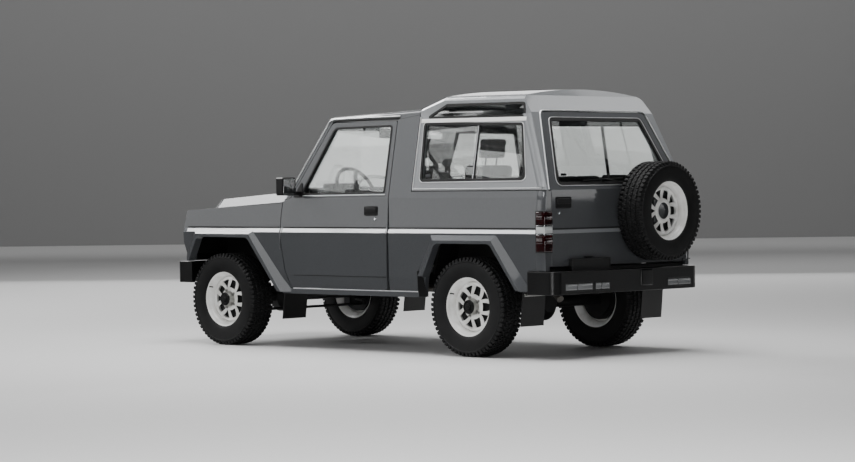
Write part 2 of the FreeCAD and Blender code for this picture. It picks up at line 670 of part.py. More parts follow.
def hardtop():
    outer = roof_solid(0)
    inner = roof_solid(S.roof_wall)
    shell = outer.cut(inner)
    shell = shell.common(block(-OUTSIDE, OUTSIDE, HARDTOP_FRONT, REAR_FACE + 100,
                               HARDTOP_BASE, HARDTOP_EDGE + 190))
    seal = roof_solid(10).cut(roof_solid(26))
    seal_foot = HARDTOP_BASE - S.shut_gap + 0.3
    seal = seal.common(block(-OUTSIDE, OUTSIDE, HARDTOP_FRONT + 10, REAR_FACE - 12,
                             seal_foot, HARDTOP_BASE + 2))
    shell = shell.fuse(seal)
    shell = shell.cut(prism(full_width(tailgate_frame(S.shut_gap)), "y", ROOF_REAR - 60, REAR_FACE + 100))
    for opening in (SIDE_WINDOW, SKYLIGHT):
        shell = shell.cut(prism(opening, "x", -OUTSIDE, OUTSIDE))
    return shell


def body_glass():
    """Windscreen, sliding side windows and skylights: fixed glass on the body."""
    panes = [windscreen_glass()]
    panes = [pane.cut(windscreen_frame()) for pane in panes]
    skin = roof_solid(12).cut(roof_solid(12 + S.glass))
    for opening in (SIDE_WINDOW, SKYLIGHT):
        cut = skin.common(prism(opening, "x", INSIDE, OUTSIDE))
        pane = max(cut.Solids, key=lambda solid: solid.Volume)
        panes += [pane, mirrored(pane)]
    return Part.Compound(panes)


def cab_roof():
    """The cab's roof panel, from the windscreen header to the hardtop's ramp."""
    gap = 2

    def section(station, edge, inset):
        return roof_section(station, edge, edge + S.roof_crown, inset)

    front, rear = SCREEN_TOP - 12, HARDTOP_FRONT - 3
    edge_front, edge_rear = SCREEN_TOP_HEIGHT - 8, CAB_REAR_HEIGHT - 24
    outer = Part.makeLoft([section(front, edge_front, 0), section(rear, edge_rear, 0)], True, True)
    inner = Part.makeLoft([section(front - 5, edge_front, 26), section(rear + 5, edge_rear, 26)], True, True)
    shell = outer.cut(inner)
    low = ROOF_EDGE - 14
    keep = [(front - 50, low), (DOOR_REAR + S.shut_gap, low), (HARDTOP_FRONT, low + 31),
            (HARDTOP_FRONT, HARDTOP_EDGE + 190), (front - 50, HARDTOP_EDGE + 190)]
    return shell.common(prism(keep, "x", -OUTSIDE, OUTSIDE)).removeSplitter()


# Bonnet and inner wings
def bonnet_hinges():
    """Left ends of the two knuckles that the bonnet turns on."""
    return -560, 520


def bonnet():
    """The lid: a flat panel with a raised centre, and a knuckle for each hinge."""
    half, front, rear = S.bonnet_half, S.bonnet_front, S.bonnet_rear
    z_front, z_rear = S.wing_top_front + 4, WING_TOP_REAR + 10
    side = [(front, z_front - S.bonnet_wall), (front, z_front - 8, 6), (front + 30, z_front, 20),
            (rear, z_rear), (rear, z_rear - S.bonnet_wall)]
    panel = prism(side, "x", -half, half)
    foot, ridge = front + 40, front + 130
    low = outline([(-half + 120, foot, 60), (half - 120, foot, 60), (half - 60, rear), (-half + 60, rear)],
                  "z", z_front - 20)
    high = [(-half + 200, ridge, 60), (half - 200, ridge, 60), (half - 150, rear), (-half + 150, rear)]
    high = outline(high, "z", S.bulge_rear)
    bulge = Part.makeLoft([low, high], True, True)
    slope = [(front, z_front - 20), (rear, z_rear - 20), (rear, S.bulge_rear), (ridge, S.bulge_front, 90),
             (front, z_front + 6)]
    bulge = bulge.common(prism(slope, "x", -half, half))
    hollow = bulge.copy()
    hollow.translate(Vector(0, 0, -S.bonnet_wall))
    lid = panel.fuse(bulge)
    hollow = hollow.common(block(-half, half, front + 90, rear - 60, z_front - 130, S.bulge_rear))
    lid = lid.cut(hollow)
    axle = S.bonnet_pivot_height
    for x in bonnet_hinges():
        lid = lid.cut(block(x - 22, x + 62, rear - 8, rear + 40, z_front - 130, S.bulge_rear + 100))
        tab = block(x, x + 40, rear - 30, rear + 7, axle - 9, axle + 11)
        lid = lid.fuse([tab, Part.makeCylinder(11, 40, Vector(x, rear + 7, axle), AXIS_X)])
    return lid.cut(bonnet_pin(S.running_clearance)).removeSplitter()


def bonnet_pin(play=0):
    """The two pins that the bonnet turns on, in line."""
    return Part.Compound([
        Part.makeCylinder(S.hinge_pin_radius + play, 80,
                          Vector(x - 20, S.bonnet_rear + 7, S.bonnet_pivot_height), AXIS_X)
        for x in bonnet_hinges()
    ])


def inner_wing():
    """The left inner wing: a wall that stands on the rail and a roof over the wheel."""
    rail_face = S.rail_x + S.rail_width / 2
    front, rear, top = S.nose + 83, S.firewall_station - S.floor_wall, S.shoulder_low - 20
    wall = block(rail_face - 12, rail_face, front, rear, S.rail_top, top)
    roof = block(rail_face - 12, side_x(top), front, rear, top - 12, top)
    lining = wall.fuse(roof).cut(wing())
    return max(lining.Solids, key=lambda solid: solid.Volume)


def hinge_pins(x, station, heights, radius):
    """Upright hinge pins that stand in a shut line."""
    return [Part.makeCylinder(radius, 50, Vector(x, station, z)) for z in heights]


def door_pins(play=0):
    heights = (S.shoulder_low - 127, S.shoulder_low - 47)
    return hinge_pins(S.shoulder_x - 3, S.door_front - S.shut_gap / 2, heights, S.door_pin_radius + play)


# Cabin shapes
def tilted(shape, centre, tilt):
    return shape.rotate(centre, AXIS_X, tilt)


def steering_column():
    centre = Vector(S.column_x, S.wheel_station, S.steering_wheel_height)
    start = centre - AXIS_Y * (20 + S.seat_clearance + S.column_length)
    tube = Part.makeCylinder(S.column_radius, S.column_length, start, AXIS_Y)
    return tilted(tube, centre, S.column_tilt)


def dashboard():
    half = S.inner_half - 14
    back, top = S.cowl + 82, S.waist_height
    section = [(back, top + 7, 30), (back + 93, top + 83, 40), (back + 168, top + 67, 30),
               (back + 163, top - 103, 40), (back + 23, top - 153, 40), (back, top - 153, 10)]
    return prism(section, "x", -half, half).cut([steering_column(), windscreen_frame()])


def bent_tube(points, radius, bend):
    """A round tube along straight runs joined by arcs."""
    edges = []
    last = points[0]
    for before, here, after in zip(points, points[1:], points[2:]):
        back, ahead = (before - here).normalize(), (after - here).normalize()
        half = back.getAngle(ahead) / 2
        reach = bend / math.tan(half)
        middle = here + (back + ahead).normalize() * (bend / math.sin(half) - bend)
        start, end = here + back * reach, here + ahead * reach
        edges += [Part.LineSegment(last, start).toShape(), Part.Arc(start, middle, end).toShape()]
        last = end
    edges.append(Part.LineSegment(last, points[-1]).toShape())
    circle = Part.Wire(Part.makeCircle(radius, points[0], points[1] - points[0]))
    return Part.Wire(edges).makePipeShell([circle], True, False)


def roll_bar():
    """A hoop behind the front seats with two stays to the floor in the load space."""
    s, r, low = HOOP, S.hoop_radius, FLOOR_TOP
    foot, top = S.hoop_half, S.hoop_half - 65
    landing = S.rail_top + S.wheel_box_rise
    hoop = bent_tube([Vector(foot, s, low), Vector(top, s, S.hoop_height), Vector(-top, s, S.hoop_height),
                      Vector(-foot, s, low)], r, 120)
    stays = [rod(Vector(side * (top + 8), s + 10, S.hoop_height - 100),
                 Vector(side * foot, S.wheelbase + 70, landing), r)
             for side in (1, -1)]
    bar = fuse([hoop] + stays).cut(floor_tub())
    return max(bar.Solids, key=lambda solid: solid.Volume)


# Tailgate
def rear_profile(inset):
    return [
        (REAR_FACE - 4 - inset, S.tailgate_bottom - 50), (REAR_FACE - inset, HARDTOP_BASE),
        (TAILGATE_TOP - inset, TAILGATE_TOP_HEIGHT),
        (TAILGATE_TOP - 60 - inset, TAILGATE_TOP_HEIGHT + 127),
    ]


def tailgate_slab(inset, thickness):
    outer = rear_profile(inset)
    inner = [(s - thickness, z) for s, z in reversed(outer)]
    return prism(outer + inner, "x", -OUTSIDE, OUTSIDE)


def tailgate_hinges():
    """Heights of the two hinge knuckles' feet."""
    return S.tailgate_bottom + 20, HARDTOP_BASE - 105


def tailgate_pivot():
    """Where the tailgate's upright hinge axis stands: beside and behind its right edge."""
    return Vector(-(S.tailgate_half_base + 6), REAR_FACE + 14, 0)


def tailgate_pins(play=0):
    axis = tailgate_pivot()
    radius = S.hinge_pin_radius + play
    return [Part.makeCylinder(radius, 76, axis + AXIS_Z * (z - 8)) for z in tailgate_hinges()]


def tailgate_pin_brackets():
    """The pins and the lugs that hold them on the body's right rear corner."""
    axis = tailgate_pivot()
    lugs = []
    for knuckle in tailgate_hinges():
        for low in (knuckle - 8.3, knuckle + 60.3):
            lugs.append(block(axis.x - 24, axis.x, REAR_FACE - 2, axis.y + 12, low, low + 8))
            lugs.append(Part.makeCylinder(12, 8, axis + AXIS_Z * low))
    return tailgate_pins() + lugs


def hinge_leaf(toward, low):
    """A hinge leaf from the tailgate's pivot toward one side, with its knuckle."""
    axis = tailgate_pivot()
    leaf = block(axis.x, axis.x + toward, REAR_FACE + 3, axis.y, low, low + 60)
    foot = block(-S.tailgate_half_low + 6, axis.x + toward, REAR_FACE - 8, axis.y, low, low + 60)
    return leaf.fuse([foot, Part.makeCylinder(12, 60, axis + AXIS_Z * low)])


TAILGATE_WINDOW = [
    (S.tailgate_half_low - 84, HARDTOP_BASE + 41, 30),
    (S.tailgate_half_top - 71, TAILGATE_TOP_HEIGHT - 51, 30),
]


def tailgate():
    slab = tailgate_slab(0, S.wall)
    slab = slab.common(prism(full_width(tailgate_frame(0)), "y", ROOF_REAR - 60, REAR_FACE + 100))
    window = full_width(TAILGATE_WINDOW)
    slab = slab.cut(prism(window, "y", ROOF_REAR - 60, REAR_FACE + 100))
    x, z, face = S.spare_x, SPARE_HEIGHT, REAR_FACE
    carrier_end = face + S.spare_gap + S.tyre_width / 2 + S.rim_width / 2 - S.disc_recess - 13.3
    half = S.spare_mount_half
    carrier = block(x - half, x + half, face - 2, carrier_end, z - half, z + half)
    leaves = [hinge_leaf(90, low) for low in tailgate_hinges()]
    return fuse([slab, carrier] + leaves).cut(tailgate_pins(S.running_clearance))


def tailgate_glass():
    pane = tailgate_slab(S.wall / 2, S.glass)
    window = full_width(TAILGATE_WINDOW)
    return pane.common(prism(window, "y", ROOF_REAR - 60, REAR_FACE + 100))


# Exhaust and springs
def exhaust():
    x = S.exhaust_x
    level = S.rail_top - 100
    pipe = bent_tube([
        Vector(x - 60, 700, level), Vector(x, 900, level), Vector(x, S.wheelbase - 530, level - 10),
        Vector(x, REAR_FACE - 182, level + 20), Vector(x + 30, REAR_FACE - 72, level - 60),
    ], S.exhaust_radius, 60)
    silencer = Part.makeCylinder(S.silencer_radius, 460, Vector(x, 1380, level - 2), AXIS_Y)
    hangers = [block(x - 6, x + 6, s, s + 30, level + 5, S.rail_top) for s in (1360, 1830, REAR_FACE - 282)]
    return fuse([pipe, silencer] + hangers)


def leaf_spring(axle, height):
    """One leaf pack: an arc between its eyes, clamped on the axle."""
    half, pack = S.spring_half_length, S.spring_pack
    x0 = S.rail_x - S.spring_width / 2
    tip = height + pack + S.spring_camber

    def arc(middle, end):
        ends = [Vector(x0, axle - half, end), Vector(x0, axle, middle), Vector(x0, axle + half, end)]
        return Part.Arc(*ends).toShape(), ends

    lower, low_ends = arc(height, tip - S.main_leaf)
    upper, high_ends = arc(height + pack, tip)
    wire = Part.Wire([lower, Part.LineSegment(low_ends[2], high_ends[2]).toShape(), upper,
                      Part.LineSegment(high_ends[0], low_ends[0]).toShape()])
    leaves = Part.Face(wire).extrude(AXIS_X * S.spring_width)
    eye_height = S.rail_top - S.rail_depth - S.spring_eye
    eyes = [Part.makeCylinder(S.spring_eye, S.spring_width, Vector(x0, s, eye_height), AXIS_X)
            for s in (axle - half, axle + half)]
    return fuse([leaves] + eyes)


# Wheels
def pressed_wheel():
    """The wheel pressing: barrel and recessed disc, with pairs of windows round the bore."""
    half, flange = S.rim_width / 2, S.rim_flange_radius
    seat, wall = flange - S.bead_seat_drop, S.rim_wall
    well, disc = seat - S.well_depth, half - S.disc_recess
    back, edge = disc - S.disc_wall, seat - S.well_depth - wall / 2
    body = revolved("wheel_pressing", [
        (half, flange), (half, seat - wall), (half - 40, seat - wall), (half - 60, well - wall),
        (disc - 13, well - wall), (disc - 8, 150), (disc, 86), (disc + 8, 60),
        (disc + 8, S.centre_bore), (disc - 4, S.centre_bore), (disc - 4, 60), (back, 86),
        (back - 8, 150), (disc - 26, well - wall), (50 - half, well - wall), (36 - half, seat - wall),
        (-half, seat - wall), (-half, flange), (7 - half, flange), (9 - half, seat),
        (34 - half, seat), (50 - half, well), (half - 60, well), (half - 40, seat),
        (half - 9, seat), (half - 7, flange),
    ])
    low, high, reach = S.window_inner_radius, S.window_outer_radius, S.window_half_width
    last = body.Tip
    trapezoid = [(-reach, low), (reach, low), (reach / 2, high), (-reach / 2, high)]
    triangle = [(-reach, high + 2), (0, high - reach), (reach, high + 2)]
    for name, corners, turn in (("broad", trapezoid, 0), ("pointed", triangle, 180 / S.window_pairs)):
        window = body.newObject("PartDesign::Pocket", f"{name}_window")
        window.Profile = sketch(body, "YZ_Plane", corners, f"{name}_outline", disc - 60)
        window.Profile[0].AttachmentOffset = Placement(Vector(0, 0, disc - 60), Rotation(AXIS_Z, turn))
        window.Length = 100
        window.Reversed = True
        body.Tip = window
        row = body.newObject("PartDesign::PolarPattern", f"{name}_windows")
        row.Originals = [window]
        row.Axis = (origin_feature(body, "X_Axis"), [""])
        row.Angle = 360
        row.Occurrences = int(S.window_pairs)
        body.Tip = last = row
    return body


def wheel_centre():
    """The hub that fills the bore, and the cap on it."""
    disc = S.rim_width / 2 - S.disc_recess
    reach = S.disc_recess + S.hub_cap_reach + 4
    return [cylinder("hub", S.centre_bore + 3, 10, disc - 3, 0, 0, AXIS_X),
            cylinder("hub_cap", S.hub_cap_radius, reach, disc - 4, 0, 0, AXIS_X)]


def brake(name, radius, width):
    back = S.rim_width / 2 - S.disc_recess - 4
    return cylinder(name, radius, width, back - width, 0, 0, AXIS_X)


def ring_of(x, radius, count, shift=0.0):
    """Points round the x axis at even steps; the shift is a share of one step."""
    step = 2 * math.pi / count
    return [Vector(x, radius * math.sin((i + shift) * step), radius * math.cos((i + shift) * step))
            for i in range(count)]


def tyre_shape():
    """A tyre with flat lugs across its tread, as planar faces between rings of points."""
    count, half, flange = int(S.lug_count), S.tyre_width / 2, S.rim_flange_radius
    lug, groove = S.tyre_radius, S.tyre_radius - S.lug_depth
    slack = math.cos(math.pi / count)
    bead_x = S.rim_width / 2 - 9
    bore = (flange - S.bead_seat_drop + S.seat_clearance) / slack
    section = [(half - 5, groove - 28), (half, flange + 66), (bead_x, flange + 1), (bead_x, bore)]

    def tread_edge(x):
        corners = ((lug, 0.0), (lug, 0.56), (groove, 0.64), (groove, 0.92))
        rings = [ring_of(x, radius, count, at) for radius, at in corners]
        return [ring[i] for i in range(count) for ring in rings]

    faces = []

    def face(*points):
        faces.append(Part.Face(Part.makePolygon(list(points) + [points[0]])))

    edges = {side: tread_edge(side * (half - 18)) for side in (1, -1)}
    rings = {side: [ring_of(side * x, r, count, 0.28) for x, r in section] for side in (1, -1)}
    for i in range(4 * count):
        after = (i + 1) % (4 * count)
        face(edges[1][i], edges[1][after], edges[-1][after], edges[-1][i])
    for side in (1, -1):
        rim_edge, shoulder = edges[side], rings[side][0]
        for i in range(count):
            after = (i + 1) % count
            for k in range(4):
                near = shoulder[i] if k < 3 else shoulder[after]
                face(rim_edge[4 * i + k], rim_edge[(4 * i + k + 1) % (4 * count)], near)
            face(shoulder[i], rim_edge[4 * i + 3], shoulder[after])
            for outer, inner in zip(rings[side], rings[side][1:]):
                face(outer[i], outer[after], inner[after], inner[i])
    for i in range(count):
        after = (i + 1) % count
        face(rings[1][-1][i], rings[1][-1][after], rings[-1][-1][after], rings[-1][-1][i])
    shell = Part.Shell(faces)
    shell.sewShape()
    solid = Part.Solid(shell)
    return solid if solid.Volume > 0 else solid.reversed()


def wheels():
    """Four wheels that turn and the spare: a tyre and a pressing each."""
    pressing = pressed_wheel()
    centre = wheel_centre()
    disc_brake = brake("brake_disc", S.brake_radius, S.brake_width)
    drum = brake("brake_drum", S.drum_radius, S.drum_width)
    tyre = tyre_shape()
    outboard = {"left": (1, Rotation()), "right": (-1, Rotation(AXIS_Z, 180))}
    for end, x, station, stopper in (("front", S.front_wheel_x, 0, disc_brake),
                                     ("rear", S.rear_wheel_x, S.wheelbase, drum)):
        for side, (sign, turn) in outboard.items():
            rim = fused(f"rim_{end}_{side}", [pressing, *centre, stopper])
            node(f"rim_{end}_{side}", rim, x * sign, station, S.hub_height, turn)
            place = Placement(Vector(x * sign, station, S.hub_height), turn)
            shape_node(f"tyre_{end}_{side}", tyre.transformed(place.toMatrix()))
    turn = Rotation(AXIS_Z, 90)
    station = REAR_FACE + S.spare_gap + S.tyre_width / 2
    node("spare_rim", together("spare_rim", [pressing]), S.spare_x, station, SPARE_HEIGHT, turn)
    place = Placement(Vector(S.spare_x, station, SPARE_HEIGHT), turn)
    shape_node("spare_tyre", tyre.transformed(place.toMatrix()))


# Ladder frame
def chassis_frame():
    """Two rails that drop between the axles, five cross members, and the plate for a tow bracket."""
    top, low = S.rail_top, RAIL_LOW
    inner, outer = S.rail_x - S.rail_width / 2, S.rail_x + S.rail_width / 2
    rail = padded("frame_rail", "x", [
        (S.frame_front, top), (FRAME_REAR, top), (FRAME_REAR, low + 15), (S.wheelbase + 320, low),
        (S.wheelbase - 570, low), (S.wheelbase - 730, low - S.rail_drop), (760, low - S.rail_drop),
        (600, low), (-300, low), (S.frame_front, low + 15),
    ], inner, outer)
    members = [
        box(f"cross_member_{i}", -inner, inner, start, start + S.member_length, low + 20, top - 8)
        for i, start in enumerate((S.frame_front + 50, 1420, S.wheelbase - 480, S.wheelbase + 370), start=1)
    ]
    last = FRAME_REAR - S.member_length
    beam = fused("tow_beam", [
        box("rear_member", -inner, inner, last, FRAME_REAR, low + 20, top - 8),
        box("tow_plate", -S.tow_plate_half, S.tow_plate_half,
            FRAME_REAR, FRAME_REAR + S.tow_plate_wall, low, top),
    ])
    middle = (low + top) / 2 + 6
    holes = [
        cylinder(f"tow_hole_{side}_{level}", S.tow_hole_radius, S.member_length + 40, S.tow_hole_x * across,
                 last - 10, middle + S.tow_hole_z * up, AXIS_Y)
        for side, across in (("left", 1), ("right", -1)) for level, up in (("high", 1), ("low", -1))
    ]
    beam = cut("drilled_beam", beam, together("tow_holes", holes))
    node("chassis_frame", together("chassis_frame", [rail, twin(rail), *members, beam]))


def fuel_tank():
    top, low = S.rail_top, S.rail_top - S.tank_depth
    tank = padded("fuel_tank", "y", [
        (-S.tank_inner, low, 30), (-S.tank_inner, top, 10),
        (-S.tank_outer, top, 10), (-S.tank_outer, low + 20, 40),
    ], S.wheelbase - 580 - S.tank_length, S.wheelbase - 580)
    node("fuel_tank", tank)


def mud_flaps():
    """Rubber flaps behind the four wheels, hung from the body."""
    inner, wall = S.flap_outer - S.flap_width, S.flap_wall
    flaps = []
    for name, start, top, bottom, sweep in (("front_flap", S.door_front + 15, S.sill_bottom, 215, 25),
                                            ("rear_flap", BUMPER_END - 66, 462, 225, 22)):
        flap = padded(name, "x", [
            (start, top), (start - sweep, bottom), (start - sweep + wall, bottom), (start + wall, top),
        ], inner, S.flap_outer)
        flaps += [flap, twin(flap)]
    node("mud_flaps", together("mud_flaps", flaps))


# Axles and steering
def bar(name, radius, start, end):
    """A round bar between two points."""
    rod_object = doc.addObject("Part::Cylinder", name)
    rod_object.Radius, rod_object.Height = radius, (end - start).Length
    rod_object.Placement = Placement(start, Rotation(AXIS_Z, end - start))
    return rod_object


def differential(name, x, station, radius):
    """A banjo housing: a drum across the car's length with a coned cover on each side."""
    half, cover, z = S.diff_half, S.diff_cover, S.hub_height
    return [
        cylinder(f"{name}_drum", radius, half * 2, x, station - half, z, AXIS_Y),
        cone(f"{name}_rear_cover", radius, radius * 0.55, cover, x, station + half, z, AXIS_Y),
        cone(f"{name}_front_cover", radius, radius * 0.55, cover, x, station - half, z, -AXIS_Y),
    ]


def front_axle():
    """The live front axle: tube, differential and the forks that hold the kingpins."""
    z, height, wall = S.hub_height, S.fork_height, S.fork_wall
    fork_x = S.kingpin_x - 62
    tube = cylinder("front_tube", S.axle_tube_radius, fork_x * 2, -fork_x, 0, z, AXIS_X)
    fork = [box("fork_plate", fork_x - 20, fork_x, -32, 32, z - height - wall, z + height + wall)]
    for name, low in (("low", z - height - wall), ("high", z + height)):
        fork.append(box(f"fork_arm_{name}", fork_x - 10, S.kingpin_x, -28, 28, low, low + wall))
        fork.append(cylinder(f"fork_boss_{name}", 28, wall, S.kingpin_x, 0, low))
    bore = cylinder("kingpin_bore", S.kingpin_radius + S.running_clearance, 400, S.kingpin_x, 0, z - 200)
    ends = cut("fork", fused("fork_blank", fork), bore)
    parts = [tube, *differential("front", S.front_diff_x, 0, S.diff_radius), ends, twin(ends)]
    node("front_axle", fused("front_axle", parts))


def steering():
    """Steering knuckles and the bar between their arms, whose right eye is wide."""
    z, x, y, rod_z = S.hub_height, S.kingpin_x, S.steering_arm, S.tie_rod_height
    height, wall = S.fork_height, S.fork_wall
    eye_x = x - S.arm_inset
    spindle_end = S.front_wheel_x + S.rim_width / 2 - S.disc_recess - 4 - S.brake_width - S.seat_clearance
    eye_low = rod_z + S.tie_eye_half + 3
    knuckle = fused("knuckle", [
        cylinder("kingpin_post", 30, (height - S.seat_clearance) * 2, x, 0, z - height + S.seat_clearance),
        cylinder("kingpin", S.kingpin_radius, (height + wall) * 2, x, 0, z - height - wall),
        cylinder("spindle", 26, spindle_end - x, x, 0, z, AXIS_X),
        bar("steering_arm", 13, Vector(x - 4, 20, z - 50), Vector(eye_x, y, eye_low + 14)),
        cylinder("arm_eye", 16, 24, eye_x, y, eye_low),
        cylinder("ball_pin", S.ball_radius, 30, eye_x, y, eye_low - 28),
    ])
    node("knuckle_left", together("knuckle_left", [knuckle]))
    node("knuckle_right", twin(knuckle))
    half, low = S.tie_eye_half, rod_z - S.tie_eye_half
    play = S.ball_radius + S.running_clearance
    eyes = [
        cut(f"{name}_eye", cylinder(f"{name}_eye_blank", outer, half * 2, place, y, low),
            cylinder(f"{name}_hole", inner, half * 4, place, y, low - half))
        for name, outer, inner, place in (
            ("close", 16, play, eye_x), ("wide", S.open_eye + 6, S.open_eye, -eye_x),
        )
    ]
    reach, start = eye_x * 2 - S.open_eye - 14, S.open_eye + 2 - eye_x
    tie_bar = cylinder("tie_bar", S.tie_rod_radius, reach, start, y, rod_z, AXIS_X)
    node("tie_rod", fused("tie_rod", [tie_bar, *eyes]))


def rear_axle():
    """The live rear axle: tube, differential, backing plates and the spigots the drums turn on."""
    z, axle = S.hub_height, S.wheelbase
    inner = S.rear_wheel_x + S.rim_width / 2 - S.disc_recess - 4 - S.drum_width
    plate = cylinder("backing_plate", S.drum_radius - 8, 10, inner - S.moving_gap - 10, axle, z, AXIS_X)
    spigot = cylinder("spigot", 26, 20, inner - S.seat_clearance - 20, axle, z, AXIS_X)
    tube = cylinder("rear_tube", S.axle_tube_radius, (inner - 6) * 2, 6 - inner, axle, z, AXIS_X)
    parts = [tube, *differential("rear", 0, axle, S.diff_radius + 8), plate, twin(plate), spigot, twin(spigot)]
    node("rear_axle", fused("rear_axle", parts))


# Engine and driveline
def engine_block():
    half, rail_face = S.engine_width / 2, S.rail_x - S.rail_width / 2
    block_body = padded("engine_casting", "y", [
        (-half, 640, 30), (-half, S.engine_high, 40), (half, S.engine_high, 40), (half, 640, 30),
        (120, S.engine_low, 30), (-120, S.engine_low, 30),
    ], S.engine_front, S.engine_rear)
    arm = box("engine_mount", half - 60, rail_face, 120, 200, S.rail_top - 60, S.rail_top - 12)
    node("engine_block", fused("engine_block", [block_body, arm, twin(arm)]))


def driveline():
    """Gearbox, transfer case and the two propeller shafts with their flanges."""
    length = S.gearbox_end - S.engine_rear
    parts = [
        cone("gearbox", 105, 78, length, 0, S.engine_rear, 462, AXIS_Y),
        padded("transfer_case", "y", [(-80, 400, 30), (-80, 545, 30), (210, 520, 30), (210, 370, 30)],
               S.gearbox_end - 40, S.gearbox_end + 200),
    ]
    face = S.diff_half + S.diff_cover + S.seat_clearance
    for name, x, station, toward, drop, start in (
        ("front", S.front_diff_x, face, AXIS_Y, 10, Vector(S.front_diff_x, S.gearbox_end - 30, 440)),
        ("rear", 0, S.wheelbase - face, -AXIS_Y, 20, Vector(0, S.gearbox_end + 190, 460)),
    ):
        parts.append(cylinder(f"{name}_flange", S.flange_radius, 14, x, station, S.hub_height + drop, toward))
        nose = Vector(x, station, S.hub_height + drop) + toward * 7
        parts.append(bar(f"{name}_shaft", S.propshaft_radius, nose, start))
    node("driveline", fused("driveline", parts))


# Nose and bumpers
def front_panel():
    """The nose: a frame round the lamps and the grille, with slats across."""
    half, front, top = S.inner_half, S.nose + 8, S.wing_top_front - 34
    slab = padded("nose_frame", "x", [
        (front + 34, 640), (front + 2, 780), (front, 900), (front + 20, top),
        (front + 75, top), (front + 75, 640),
    ], -half, half)
    wide, low, high = S.grille_half, S.grille_low, S.grille_high
    grille = padded("grille_opening", "y", [
        (-wide, low, 12), (wide, low, 12), (wide, high, 12), (-wide, high, 12),
    ], front - 50, front + 200)
    lamp = headlamp("lamp_opening", front - 50, front + 200)
    frame = cut("nose_blank", slab, together("nose_openings", [grille, lamp, twin(lamp)]))
    slats = [box(f"slat_{i}", -wide - 2, wide + 2, front + 14, front + 34, z, z + 12)
             for i, z in enumerate(low + 22 + S.slat_pitch * step for step in range(7))]
    node("front_panel", fused("front_panel", [frame, *slats]))


def headlamp(name, start, end):
    inner, outer, low, high = S.headlamp_inner, S.headlamp_outer, S.headlamp_low, S.headlamp_high
    corners = [(inner, low, 10), (outer, low, 10), (outer, high, 10), (inner, high, 10)]
    return padded(name, "y", corners, start, end)


def front_lamps():
    lamp = headlamp("headlamp", S.nose + 14, S.nose + 78)
    node("front_lamps", together("front_lamps", [lamp, twin(lamp)]))


def bumper_brackets(name, start, end, low, high):
    bracket = box(name, S.rail_x - 25, S.rail_x + 25, start, end, low, high)
    return [bracket, twin(bracket)]


def front_bumper():
    half, low, high = S.bumper_half, S.front_bumper_low, S.front_bumper_high
    front, corner, end = S.bumper_front, S.bumper_corner, S.front_bumper_end
    beam = padded("front_beam", "z", [
        (-half, end), (-half, corner, 40), (190 - half, front, 120), (half - 190, front, 120),
        (half, corner, 40), (half, end), (half - 34, end), (half - 34, corner + 40),
        (half - 200, front + 70), (200 - half, front + 70), (34 - half, corner + 40), (34 - half, end),
    ], low, high)
    arms = bumper_brackets("front_bracket", front + 60, S.frame_front, low + 30, high - 30)
    node("front_bumper", fused("front_bumper", [beam, *arms]))


# Lamps in the rear bumper, from the middle of the car outwards
BUMPER_LAMPS = [(212, 362), (394, 678), (-694, -430)]


def rear_bumper():
    """The rear beam, its brackets, and the recesses that hold its lamps."""
    half, low, high = S.bumper_half, S.rear_bumper_low, S.rear_bumper_high
    rear, end = BUMPER_REAR, BUMPER_END
    beam = padded("rear_beam", "z", [
        (half, end), (half, rear - 30, 40), (half - 60, rear, 60), (60 - half, rear, 60),
        (-half, rear - 30, 40), (-half, end), (36 - half, end), (36 - half, rear - 76),
        (half - 36, rear - 76), (half - 36, end),
    ], low, high)
    recesses = [box(f"lamp_recess_{i}", x0 - 3, x1 + 3, rear - 16, rear + 20, low + 25, low + 76)
                for i, (x0, x1) in enumerate(BUMPER_LAMPS)]
    arms = bumper_brackets("rear_bracket", FRAME_REAR, rear - 60, low + 40, high - 40)
    blank = fused("rear_blank", [beam, *arms])
    node("rear_bumper", cut("rear_bumper", blank, together("lamp_recesses", recesses)))


def rear_lamps():
    """The lamp units that wrap the rear corners, and the lamps set in the bumper."""
    inner, outer = S.tailgate_half_low + S.shut_gap, S.shoulder_x + 6
    corner = box("corner_lamp", inner, outer, REAR_FACE - S.tail_lamp_length, REAR_FACE + 8,
                 S.tail_lamp_low, S.tail_lamp_high)
    low = S.rear_bumper_low
    lamps = [box(f"bumper_lamp_{i}", x0, x1,
                 BUMPER_REAR - 16 + S.seat_clearance, BUMPER_REAR - 2, low + 28, low + 73)
             for i, (x0, x1) in enumerate(BUMPER_LAMPS)]
    node("rear_lamps", together("rear_lamps", [corner, twin(corner), *lamps]))


# Cabin
def steering_wheel():
    """Rim, hub and three spokes in the plane square to the column."""
    grip = S.steering_wheel_grip
    middle = S.steering_wheel_radius - grip
    thick = grip * 0.95
    ring = revolved("grip_ring", [
        (-grip, middle), (-grip / 2, middle + thick), (grip / 2, middle + thick), (grip, middle),
        (grip / 2, middle - thick), (-grip / 2, middle - thick),
    ])
    parts = [ring, cylinder("wheel_hub", 42, 50, -20, 0, 0, AXIS_X)]
    for i, turn in enumerate((180, 75, -75)):
        spoke = padded(f"spoke_{i}", "x", [(-16, 36), (16, 36), (16, middle), (-16, middle)], -6, 6)
        parts.append(put_at(spoke, 0, 0, 0, Rotation(AXIS_X, turn)))
    tilt = Rotation(AXIS_X, float(S.column_tilt)).multiply(Rotation(AXIS_Z, 90))
    node("steering_wheel", fused("steering_wheel", parts), S.column_x, S.wheel_station,
         S.steering_wheel_height, tilt)


